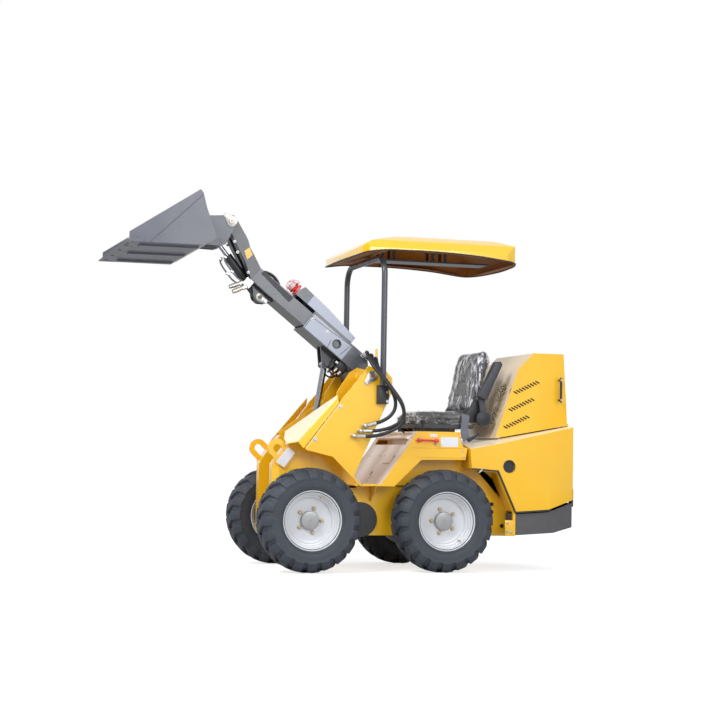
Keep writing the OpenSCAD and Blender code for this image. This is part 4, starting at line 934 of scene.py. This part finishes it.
lever = {"foot": (-632, 150, 792), "top": (-582, 150, 826), "knob": (-574, 150, 832), "wide": 9, "knobWide": 24}
knob = bmesh.new()
rod(knob, at(*lever["foot"]), at(*lever["top"]), lever["wide"], sides=12)
ball(knob, at(*lever["knob"]), lever["knobWide"], 8)
madePiece("trayKnob", knob, "chassis", "black_plastic")


# rear: filler, tags, lamp lenses

cap = {"x": -1190, "z": 607, "wide": 63, "outer": 37, "inner": 31, "tall": 3.4}
filler = bmesh.new()
rod(filler, at(cap["x"], 382, cap["z"]), at(cap["x"], 391, cap["z"]), cap["wide"], sides=32)
ringAt(filler, at(cap["x"], 399.6, cap["z"]), left, cap["outer"], cap["inner"], cap["tall"])
madePiece("fillerCap", filler, "chassis", "black_plastic")
tag = bmesh.new()
rod(tag, at(-1003, 405, 568), at(-1024, 405, 588), 7, 6, sides=10)
madePiece("sideTag", tag, "chassis", "zinc_steel", extras["whiteGuard"])
tail = {"x": (-1627.4, -1625), "y": 300, "half": 15, "red": (386, 436), "amber": (442, 470)}


def tailLens(low, high):
    mesh = bmesh.new()
    for y in (tail["y"], -tail["y"]):
        box(mesh, at(tail["x"][0], y - tail["half"], low), at(tail["x"][1], y + tail["half"], high))
    return mesh


redLenses = tailLens(*tail["red"])
soften(redLenses, 0.6, 1)
madePiece("tailLenses", redLenses, "chassis", "lamp_plastic", extras["redPlastic"])
madePiece("tailAmberLenses", tailLens(*tail["amber"]), "chassis", "lamp_plastic", extras["amberLabel"])


# hood: ring guards over the fans, and dark sheets behind the guards and the vents as painted shade

guard = {"centre": 216.0, "y": 145.0, "outer": 138.0, "first": 18.0, "pitch": 14.5, "rings": 8,
         "wide": 5.4, "thick": 3.0}
brow, root = at(-1278, 0, 1176), at(-1139, 0, 768)
climb = (brow - root).normalized()
outward = left.cross(climb).normalized()  # forward and up, square to the hood's front
pale, dark = bmesh.new(), bmesh.new()
for y in (-guard["y"], guard["y"]):
    hub = root + climb * guard["centre"] / 1000 + left * y / 1000 + outward * 0.0006
    ringAt(pale, hub, outward, guard["outer"], guard["outer"] - 9, guard["thick"], 64)
    for k in range(guard["rings"]):
        middle, half = guard["first"] + guard["pitch"] * k, guard["wide"] / 2
        ringAt(pale, hub, outward, middle + half, middle - half, guard["thick"], 48)
        bridges = 5 + 2 * k
        for j in range(bridges):
            turn = math.tau * (j + (k % 2) / 2) / bridges
            aim = climb * math.cos(turn) + left * math.sin(turn)
            near = hub + aim * (middle + 1.5) / 1000
            far = hub + aim * (middle + guard["pitch"] - 1.5) / 1000
            side = outward.cross(aim).normalized() * 0.0034
            corners = [near - side, far - side, far + side, near + side]
            plate(pale, corners, outward * guard["thick"] * 0.9 / 1000)
    ringAt(pale, hub, outward, guard["first"] - 2, 0.4, guard["thick"], 24)
    # a dark disc behind each guard: painted shade inside the hood
    rod(dark, hub - outward * 0.016, hub - outward * 0.010, 250, sides=48)
madePiece("fanGuards", pale, "hood", "dark_paint", extras["grillePaleAndGlare"], stands=["hood_grilles"])
# dark sheets behind the vents: painted shade inside the hood
shadeSheetLine = [(-1176, 812), (-1368, 892), (-1440, 1112), (-1236, 1060)]
for side in (1, -1):
    plate(dark, [at(x, side * 289, z) for x, z in shadeSheetLine], left * side * 0.002)
madePiece("hoodShadeSheets", dark, "hood", "dark_paint", extras["seamAndGapShade"])

# the vent slots are dark strips: painted shade inside them
hatch = {"first": (-1203, 834), "row": (-30, 102), "slot": (-17, 8), "rows": 3, "slots": 9,
         "long": 29.0, "wide": 8.6, "lean": math.radians(64)}
hatching = bmesh.new()
reach = Vector((math.sin(hatch["lean"]), 0, math.cos(hatch["lean"]))) * hatch["long"] / 2000
for side in (1, -1):
    for row in range(hatch["rows"]):
        for slot in range(hatch["slots"]):
            x = hatch["first"][0] + hatch["row"][0] * row + hatch["slot"][0] * slot
            z = hatch["first"][1] + hatch["row"][1] * row + hatch["slot"][1] * slot
            middle = at(x, side * 300, z)
            strip(hatching, [middle - reach, middle + reach], hatch["wide"], 0.3, left * side)
madePiece("ventHatching", hatching, "hood", "dark_paint", extras["seamAndGapShade"])

grips = bmesh.new()
for side in (1, -1):
    for z in (1000, 1118):
        hexBolt(grips, at(-1540, side * 330, z), left * side, 10, 5, 14)
madePiece("handleBolts", grips, "hood", "zinc_steel")


# canopy: rounded shell, brown painted shade on its inside, dark rubber along its rim

roof = {"round": 7.0, "rim": 9.0, "half": 440.0, "rise": 1812.0,
        "low": [(-262, -18), (-336, 1), (-448, 12), (-737, 11), (-932, 2), (-1027, -7), (-1214, -30),
                (-1270, -34)],
        # along the roof, and the share of its half width there
        "plan": [(-262, 0), (-266, 0.3), (-276, 0.6), (-288, 0.9), (-318, 1), (-420, 1), (-560, 1),
                 (-700, 1), (-840, 1), (-980, 1), (-1080, 1), (-1150, 1), (-1206, 0.93), (-1246, 0.66),
                 (-1262, 0.34), (-1270, 0)]}
shell = bmesh.new()
shell.from_mesh(nodes["canopy"].data)
bmesh.ops.remove_doubles(shell, verts=shell.verts, dist=0.00002)
bmesh.ops.dissolve_limit(shell, angle_limit=math.radians(0.5), verts=shell.verts, edges=shell.edges)
bmesh.ops.recalc_face_normals(shell, faces=shell.faces)
heart = at(-766, 0, 1560)
for face in shell.faces:
    # faces that look inward take the brown tone: painted shade of the yellow plastic
    face.material_index = int(face.normal.dot(face.calc_center_median() - heart) < 0)
canopy = madePiece("canopyShell", shell, "chassis", "canopy_plastic", smooth=42.0, stands=["canopy"])
canopy.data.materials.append(extras["canopyInsideShade"])
rounding = canopy.modifiers.new("bevel", "BEVEL")
rounding.width = roof["round"] / 1000
rounding.segments = 4
rounding.limit_method = "ANGLE"
rounding.angle_limit = math.radians(8)


def rimHeight(x):  # how far the rim lies above the roof's base line
    for (front, low), (back, high) in zip(roof["low"], roof["low"][1:]):
        if back <= x <= front:
            return low + (high - low) * (front - x) / (front - back)
    return roof["low"][-1][1]


halfLoop = [(x, share * (roof["half"] - 1.5), rimHeight(x) - 1.5) for x, share in roof["plan"]]
loop = halfLoop + [(x, -y, z) for x, y, z in reversed(halfLoop[:-1])]
rubber = bmesh.new()
rimLine = smoothRoute([at(x, y, roof["rise"] + z) for x, y, z in loop], 0.02)
tube(rubber, rimLine, lambda index: roof["rim"], 8)
madePiece("canopyRim", rubber, "chassis", "black_plastic")
print("body details made")
# seat: pads swollen by a short cloth run, seams, clear wrap, armrest pads, belt

def frozen(piece):  # the shape as its modifiers leave it
    graph = bpy.context.evaluated_depsgraph_get()
    data = bpy.data.meshes.new_from_object(piece.evaluated_get(graph))
    piece.modifiers.clear()
    spare, piece.data = piece.data, data
    bpy.data.meshes.remove(spare)


def swollen(name, mesh, cap, low, high):  # cap: how far a point moves; low, high: the space it may fill
    data = bpy.data.meshes.new(name)
    mesh.to_mesh(data)
    mesh.free()
    piece = bpy.data.objects.new(name, data)
    bpy.context.scene.collection.objects.link(piece)
    remesh = piece.modifiers.new("remesh", "REMESH")
    remesh.mode = "VOXEL"
    remesh.voxel_size = 0.006
    frozen(piece)
    before = [vert.co.copy() for vert in piece.data.vertices]
    cloth = piece.modifiers.new("cloth", "CLOTH")
    cloth.settings.use_pressure = True
    cloth.settings.uniform_pressure_force = 4.0
    cloth.settings.effector_weights.gravity = 0.0
    for step in range(1, 21):
        bpy.context.scene.frame_set(step)
    frozen(piece)
    for vert, start in zip(piece.data.vertices, before):
        move = vert.co - start
        if move.length > cap / 1000:
            move = move * (cap / 1000 / move.length)
        vert.co = start + move
    bpy.context.scene.frame_set(1)
    for vert in piece.data.vertices:
        limits = zip(vert.co, low, high)
        vert.co = Vector(min(max(value, least), most) for value, least, most in limits)
    return piece


def pressed(piece, depth, width, away):  # sink a seam where away() gives the distance in millimetres
    for vert in piece.data.vertices:
        gap = away(vert.co)
        if gap is not None and gap < width * 3:
            vert.co -= vert.normal * depth / 1000 * math.exp(-(gap / width) ** 2)


def finishedPad(piece):
    piece.data.materials.clear()
    piece.data.materials.append(finishes["seat_cover"])
    for face in piece.data.polygons:
        face.use_smooth = True
    rounding = piece.modifiers.new("subdivision", "SUBSURF")
    rounding.levels = rounding.render_levels = 1
    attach(piece, "chassis")


def wrapped(name, piece, gap, ripple, hang=0.0):  # a thin film that lies loosely over a pad
    film = bmesh.new()
    film.from_mesh(piece.data)
    film.normal_update()
    moves = []
    for vert in film.verts:
        spot = vert.co * 16.0
        fine = Vector((spot.x * 2.6, spot.y * 1.2, spot.z * 2.6))
        wave = noise.noise(spot) * 0.6 + noise.noise(fine) * 0.4
        crest = (1 - abs(wave) * 2.4) ** 3 if abs(wave) < 0.41 else 0.0
        moves.append(vert.normal * (gap + crest * ripple) / 1000)
    foot = min(vert.co.z for vert in film.verts)
    for vert, move in zip(film.verts, moves):
        low = max(0.0, 1 - (vert.co.z - foot) / 0.03)
        vert.co += move - up * low * hang / 1000
    madePiece(name, film, "chassis", "seat_cover", extras[name], 180.0)


cushionLow, cushionHigh = (Vector(corner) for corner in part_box("seat_cushion"))
cushion = {"inset": Vector((0.009, 0.010, 0.008)), "round": 25.0, "frontDrop": 22.0, "cap": 24.0,
           "seamY": 132.0, "seamFront": 78.0}
seatMesh = bmesh.new()
box(seatMesh, cushionLow + cushion["inset"], cushionHigh - cushion["inset"])
bmesh.ops.subdivide_edges(seatMesh, edges=seatMesh.edges[:], cuts=5, use_grid_fill=True)
for vert in seatMesh.verts:
    share = max(0.0, (vert.co.x - cushionLow.x) / (cushionHigh.x - cushionLow.x) - 0.45) / 0.55
    if vert.co.z > (cushionLow.z + cushionHigh.z) / 2:
        vert.co.z -= cushion["frontDrop"] / 1000 * share ** 1.6
    pinch = abs(vert.co.y) / abs(cushionHigh.y)
    vert.co.x += (0.006 if vert.co.x < cushionLow.x + 0.02 else 0.0) * (1 - pinch)
seatMesh.normal_update()
soften(seatMesh, cushion["round"], 4, 60.0)
margin = Vector((0.006, 0.006, 0.004))
seatPad = swollen("seatCushionPad", seatMesh, cushion["cap"], cushionLow - margin, cushionHigh + margin)


def cushionSeams(spot):  # distance to the sewn lines on top
    if spot.z < cushionLow.z + 0.036:
        return abs(spot.z - (cushionLow.z + 0.028)) * 1000
    front = abs(spot.x - (cushionHigh.x - cushion["seamFront"] / 1000)) * 1000
    side = abs(abs(spot.y) - cushion["seamY"] / 1000) * 1000
    return min(side, front if abs(spot.y) < cushion["seamY"] / 1000 else 99.0)


pressed(seatPad, 5.0, 6.0, cushionSeams)
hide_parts("seat_cushion")
wrapped("cushionWrap", seatPad, 3.0, 6.0, 22.0)
finishedPad(seatPad)

backLow, backHigh = (Vector(corner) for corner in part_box("seat_back"))
rest = {"outline": [(-1010, 924), (-1056, 926), (-1142, 1240), (-1126, 1288), (-1090, 1283), (-1060, 1198)],
        "half": 203.0, "round": 24.0, "cap": 9.0, "seamY": 118.0}
backMesh = bmesh.new()
plate(backMesh, [at(x, -rest["half"], z) for x, z in rest["outline"]], left * rest["half"] * 2 / 1000)
bmesh.ops.recalc_face_normals(backMesh, faces=backMesh.faces)
for vert in backMesh.verts:
    if vert.co.z > backHigh.z - 0.07:
        vert.co.y *= 0.93
soften(backMesh, rest["round"], 4, 40.0)
backPad = swollen("seatBackPad", backMesh, rest["cap"], backLow - margin, backHigh + margin)


def backSeams(spot):
    lean = at(-1005 - (spot.z * 1000 - 918) * 0.18, 0, 0).x
    if spot.x < lean - 0.03:
        return None
    side = abs(abs(spot.y) - rest["seamY"] / 1000) * 1000
    band = min(abs(spot.z - height) for height in (1.02, 1.1, 1.18)) * 1000
    return min(side, band if abs(spot.y) < rest["seamY"] / 1000 else 99.0)


pressed(backPad, 4.0, 6.0, backSeams)
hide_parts("seat_back")
wrapped("backWrap", backPad, 2.5, 5.0)
finishedPad(backPad)

# piping sewn round the middle of the cushion's sides
piping = bmesh.new()
corners = [(1, 1), (-1, 1), (-1, -1), (1, -1), (1, 1)]
halfX, halfY = (cushionHigh.x - cushionLow.x) / 2, (cushionHigh.y - cushionLow.y) / 2
centre = (cushionLow + cushionHigh) / 2
route = []
for (startX, startY), (endX, endY) in zip(corners, corners[1:]):
    for k in range(24):
        x = startX + (endX - startX) * k / 24
        y = startY + (endY - startY) * k / 24
        spot = centre + Vector((x * halfX, y * halfY, -0.006))
        found, near, normal, index = seatPad.closest_point_on_mesh(spot)
        route.append(near + normal * 0.0005)
tube(piping, route + [route[0]], lambda index: 5.0, 8)
madePiece("cushionPiping", piping, "chassis", "seat_cover")

joint = bmesh.new()  # the frame between cushion and back
box(joint, at(-1062, -196, 872), at(-998, 196, 936))
jointLine = [(-1072, 858), (-984, 858), (-984, 902), (-1040, 990), (-1078, 990)]
for side in (1, -1):
    plate(joint, [at(x, side * 198, z) for x, z in jointLine], left * side * 0.012)
soften(joint, 4.0, 2)
madePiece("seatJoint", joint, "chassis", "black_plastic")

softened("seat_base", 4.0, 3, extras["padGrey"])
armrest = {"outline": [(-1044, 1013), (-1094, 993), (-1188, 1201), (-1180, 1216), (-1152, 1214)],
           "y": 219.0, "wide": 56.0}
pads = bmesh.new()
for side in (1, -1):
    corners = [at(x, side * armrest["y"], z) for x, z in armrest["outline"]]
    plate(pads, corners, left * side * armrest["wide"] / 1000)
bmesh.ops.recalc_face_normals(pads, faces=pads.faces)
soften(pads, 11.0, 4)
madePiece("armrestPads", pads, "chassis", "black_plastic", extras["padGrey"], 50.0)
discs = bmesh.new()
discLine = [(0, 12.5), (20, 12.5), (24, 11), (38, 10.6), (44, 7), (45, 0), (0, 0)]
for side in (1, -1):
    turned(discs, discLine, at(-1086, side * 240.0, 882), left * side, 40)
madePiece("hingeDiscs", discs, "chassis", "black_plastic")

belt = {"wide": 46.0, "thick": 2.4,
        "line": [(-986, 208, 906), (-984, 219, 892), (-980, 224, 862), (-974, 229, 824), (-976, 233, 786),
                 (-988, 236, 754)],
        "buckle": [(-992, 238, 752), (-1030, 238, 772), (-1064, 234, 792)]}
webbing, buckles = bmesh.new(), bmesh.new()
for side in (1, -1):
    route = smoothRoute([at(x, side * y, z) for x, y, z in belt["line"]], 0.012)
    rows = []
    for index, spot in enumerate(route):
        run = (route[min(index + 1, len(route) - 1)] - route[max(index - 1, 0)]).normalized()
        flat = run.cross(left).normalized() * belt["wide"] / 2000
        sway = left * side * 0.004 * math.sin(index * 0.9)
        rows.append([webbing.verts.new(spot - flat + sway), webbing.verts.new(spot + flat - sway)])
    for (low, high), (nextLow, nextHigh) in zip(rows, rows[1:]):
        webbing.faces.new((low, high, nextHigh, nextLow))
    first, middle, last = (at(x, side * y, z) for x, y, z in belt["buckle"])
    rod(buckles, first, middle, 30, 27, sides=4, shift=45)
    rod(buckles, middle, last, 20, 16, sides=4, shift=45)
soften(buckles, 3.0, 2)
straps = madePiece("beltWebbing", webbing, "chassis", "belt_web", stands=["seat_belt"])
thick = straps.modifiers.new("solidify", "SOLIDIFY")
thick.thickness = belt["thick"] / 1000
thick.offset = 0.0
madePiece("beltBuckles", buckles, "chassis", "black_plastic")
print("seat made")
# hoses from the arm down to the tower: ribbed rubber, each of its own fixed length

hose = {
    "diameter": 22.0, "rib": 18.6, "pitch": 5.0,
    "routes": [
        [(-430, 126, 1196), (-432, 180, 1208), (-420, 250, 1212), (-402, 320, 1204), (-389, 372, 1184),
         (-394, 414, 1138), (-428, 428, 1080), (-462, 434, 1024), (-484, 434, 970), (-482, 432, 920),
         (-456, 428, 880), (-414, 420, 852), (-372, 412, 836), (-342, 406, 829)],
        [(-404, 126, 1214), (-404, 180, 1226), (-392, 250, 1230), (-376, 320, 1222), (-362, 376, 1200),
         (-374, 422, 1148), (-420, 452, 1084), (-468, 458, 1022), (-512, 460, 960), (-530, 454, 900),
         (-512, 444, 850), (-464, 434, 818), (-404, 422, 800), (-350, 410, 794), (-316, 406, 794)],
        [(-376, 126, 1232), (-378, 180, 1242), (-366, 250, 1246), (-350, 320, 1236), (-338, 382, 1212),
         (-354, 436, 1156), (-404, 470, 1088), (-458, 482, 1018), (-508, 484, 944), (-524, 476, 880),
         (-502, 466, 826), (-448, 448, 792), (-384, 432, 770), (-322, 416, 763), (-279, 406, 764)],
    ],
}


def hosePiece(name, points, body, diameter, rib, pitch, stands=()):  # rib: the width between the ribs
    route = smoothRoute(points, pitch / 1000)
    mesh = bmesh.new()
    tube(mesh, route, lambda index: diameter if index % 2 else rib, 14)
    piece = madePiece(name, mesh, body, "hose_rubber", smooth=60.0, stands=stands)
    path = smoothRoute(points, 0.012)
    length = sum((end - start).length for start, end in zip(path, path[1:]))
    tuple(points[0])
    print(name, "length", round(length, 4))


union = {"sleeve": 25.5, "nut": 25.0, "neck": 16.0, "knee": 27.0, "stub": 17.0, "wallNut": 27.0}  # widths
wrap = {"width": 4.6, "out": 0.0118, "twist": 0.72, "stretch": slice(2, 44)}  # a spiral of plastic tape
unions, wraps = bmesh.new(), bmesh.new()
for number, spots in enumerate(hose["routes"]):
    points = [at(*spot) for spot in spots]
    hosePiece("hose" + str(number + 1), points, "chassis", hose["diameter"], hose["rib"], hose["pitch"],
              ["hoses"] if number == 0 else [])
    end, aim = points[-1], (points[-1] - points[-2]).normalized()
    knee = end + aim * 0.022
    wall = Vector((knee.x, 0.366, knee.z))
    # crimped sleeve, nut, ball head and the stub into the tower
    rod(unions, end - aim * 0.040, end - aim * 0.004, union["sleeve"], union["sleeve"] - 1, sides=20)
    rod(unions, end - aim * 0.006, end + aim * 0.008, union["nut"], sides=6)
    rod(unions, end + aim * 0.006, knee, union["neck"], sides=16)
    ball(unions, knee, union["knee"], 9)
    rod(unions, knee, wall, union["stub"], sides=16)
    rod(unions, wall + left * 0.006, wall, union["wallNut"], sides=6)
    # white spiral wrap on the stretch behind the arm
    turns = []
    guide = smoothRoute(points, 0.003)[wrap["stretch"]]
    side = up
    for index in range(1, len(guide) - 1):
        run = (guide[index + 1] - guide[index - 1]).normalized()
        side = (side - run * side.dot(run)).normalized()
        spin = index * wrap["twist"]
        turns.append(guide[index] + (side * math.cos(spin) + run.cross(side) * math.sin(spin)) * wrap["out"])
    tube(wraps, turns, lambda index: wrap["width"], 6)
madePiece("hoseUnions", unions, "chassis", "zinc_steel", stands=["hose_fittings"])
madePiece("hoseWraps", wraps, "chassis", "hose_rubber", extras["whiteGuard"])

loop = [(84, 62, 6), (84, 62, -14), (84, 62, -34), (90, 62, -57), (107, 63, -74), (130, 64, -80),
        (153, 65, -74), (170, 66, -57), (176, 67, -34), (176, 68, -14), (176, 68, 6)]
for side, mark in ((1, "Left"), (-1, "Right")):
    hosePiece("valveHose" + mark, [onArm(u, side * y, v) for u, y, v in loop], "boom", 11.0, 9.8, 4.0)
hump = [(672, 0, 110), (690, 0, 124), (716, 0, 138), (752, 0, 145), (788, 0, 138), (814, 0, 124),
        (832, 0, 110)]
hosePiece("topHose", [onArm(*spot) for spot in hump], "inner_boom", 20.0, 18.0, 5.0)
print("hoses made")
# camera, floor and light

view = {"place": (2.688, 9.573, 0.664), "ahead": (-0.2816, -0.958, 0.0552), "roll": 0.99, "lens": 85.0}
camera = bpy.data.objects.new("camera", bpy.data.cameras.new("camera"))
bpy.context.scene.collection.objects.link(camera)
camera.data.lens = view["lens"]
camera.data.sensor_width = 36.0
camera.data.clip_end = 100.0
camera.location = view["place"]
turn = Vector(view["ahead"]).to_track_quat("-Z", "Y").to_matrix().to_4x4()
camera.rotation_euler = (turn @ Matrix.Rotation(math.radians(view["roll"]), 4, "Z")).to_euler()
bpy.context.scene.camera = camera

floorMesh = bmesh.new()
bmesh.ops.create_grid(floorMesh, x_segments=1, y_segments=1, size=60.0)
floorData = bpy.data.meshes.new("floor")
floorMesh.to_mesh(floorData)
floorMesh.free()
floor = bpy.data.objects.new("floor", floorData)
bpy.context.scene.collection.objects.link(floor)
floorFinish = Finish("floorWhite", (0.72, 0.72, 0.72), 0.95)
floorFinish.set("Specular IOR Level", 0.0)
floorFinish.set("Emission Color", (1.0, 1.0, 1.0, 1.0))
seen = floorFinish.node("ShaderNodeLightPath", output=0)
floorFinish.set("Emission Strength", seen * 0.7)  # white to the camera only
floorData.materials.append(floorFinish.material)

sky = {"seen": 1.0, "cast": 0.5}  # white where the camera looks, softer where it lights
world = bpy.data.worlds.new("studio")
bpy.context.scene.world = world
world.use_nodes = True
tree = world.node_tree
background = tree.nodes["Background"]
background.inputs["Color"].default_value = (1.0, 1.0, 1.0, 1.0)
rays = tree.nodes.new("ShaderNodeLightPath")
shown = Link(tree, rays.outputs["Is Camera Ray"]).math("MAXIMUM", Link(tree, rays.outputs["Is Glossy Ray"]))
strength = shown * (sky["seen"] - sky["cast"]) + sky["cast"]
plug(tree, background.inputs["Strength"], strength)
bpy.context.scene.view_settings.view_transform = "Standard"

lamps = [
    # name, place, size, power
    ("keyLamp", (4.5, 3.5, 5.5), 2.6, 300.0),
    ("sideLamp", (-1.5, 7.0, 3.2), 3.0, 150.0),
]
for name, place, size, power in lamps:
    lampData = bpy.data.lights.new(name, "AREA")
    lampData.size = size
    lampData.energy = power
    lampPiece = bpy.data.objects.new(name, lampData)
    lampPiece.location = place
    lampPiece.rotation_euler = (Vector((0, 0, 1.0)) - Vector(place)).to_track_quat("-Z", "Y").to_euler()
    bpy.context.scene.collection.objects.link(lampPiece)
print("camera, floor and light set")
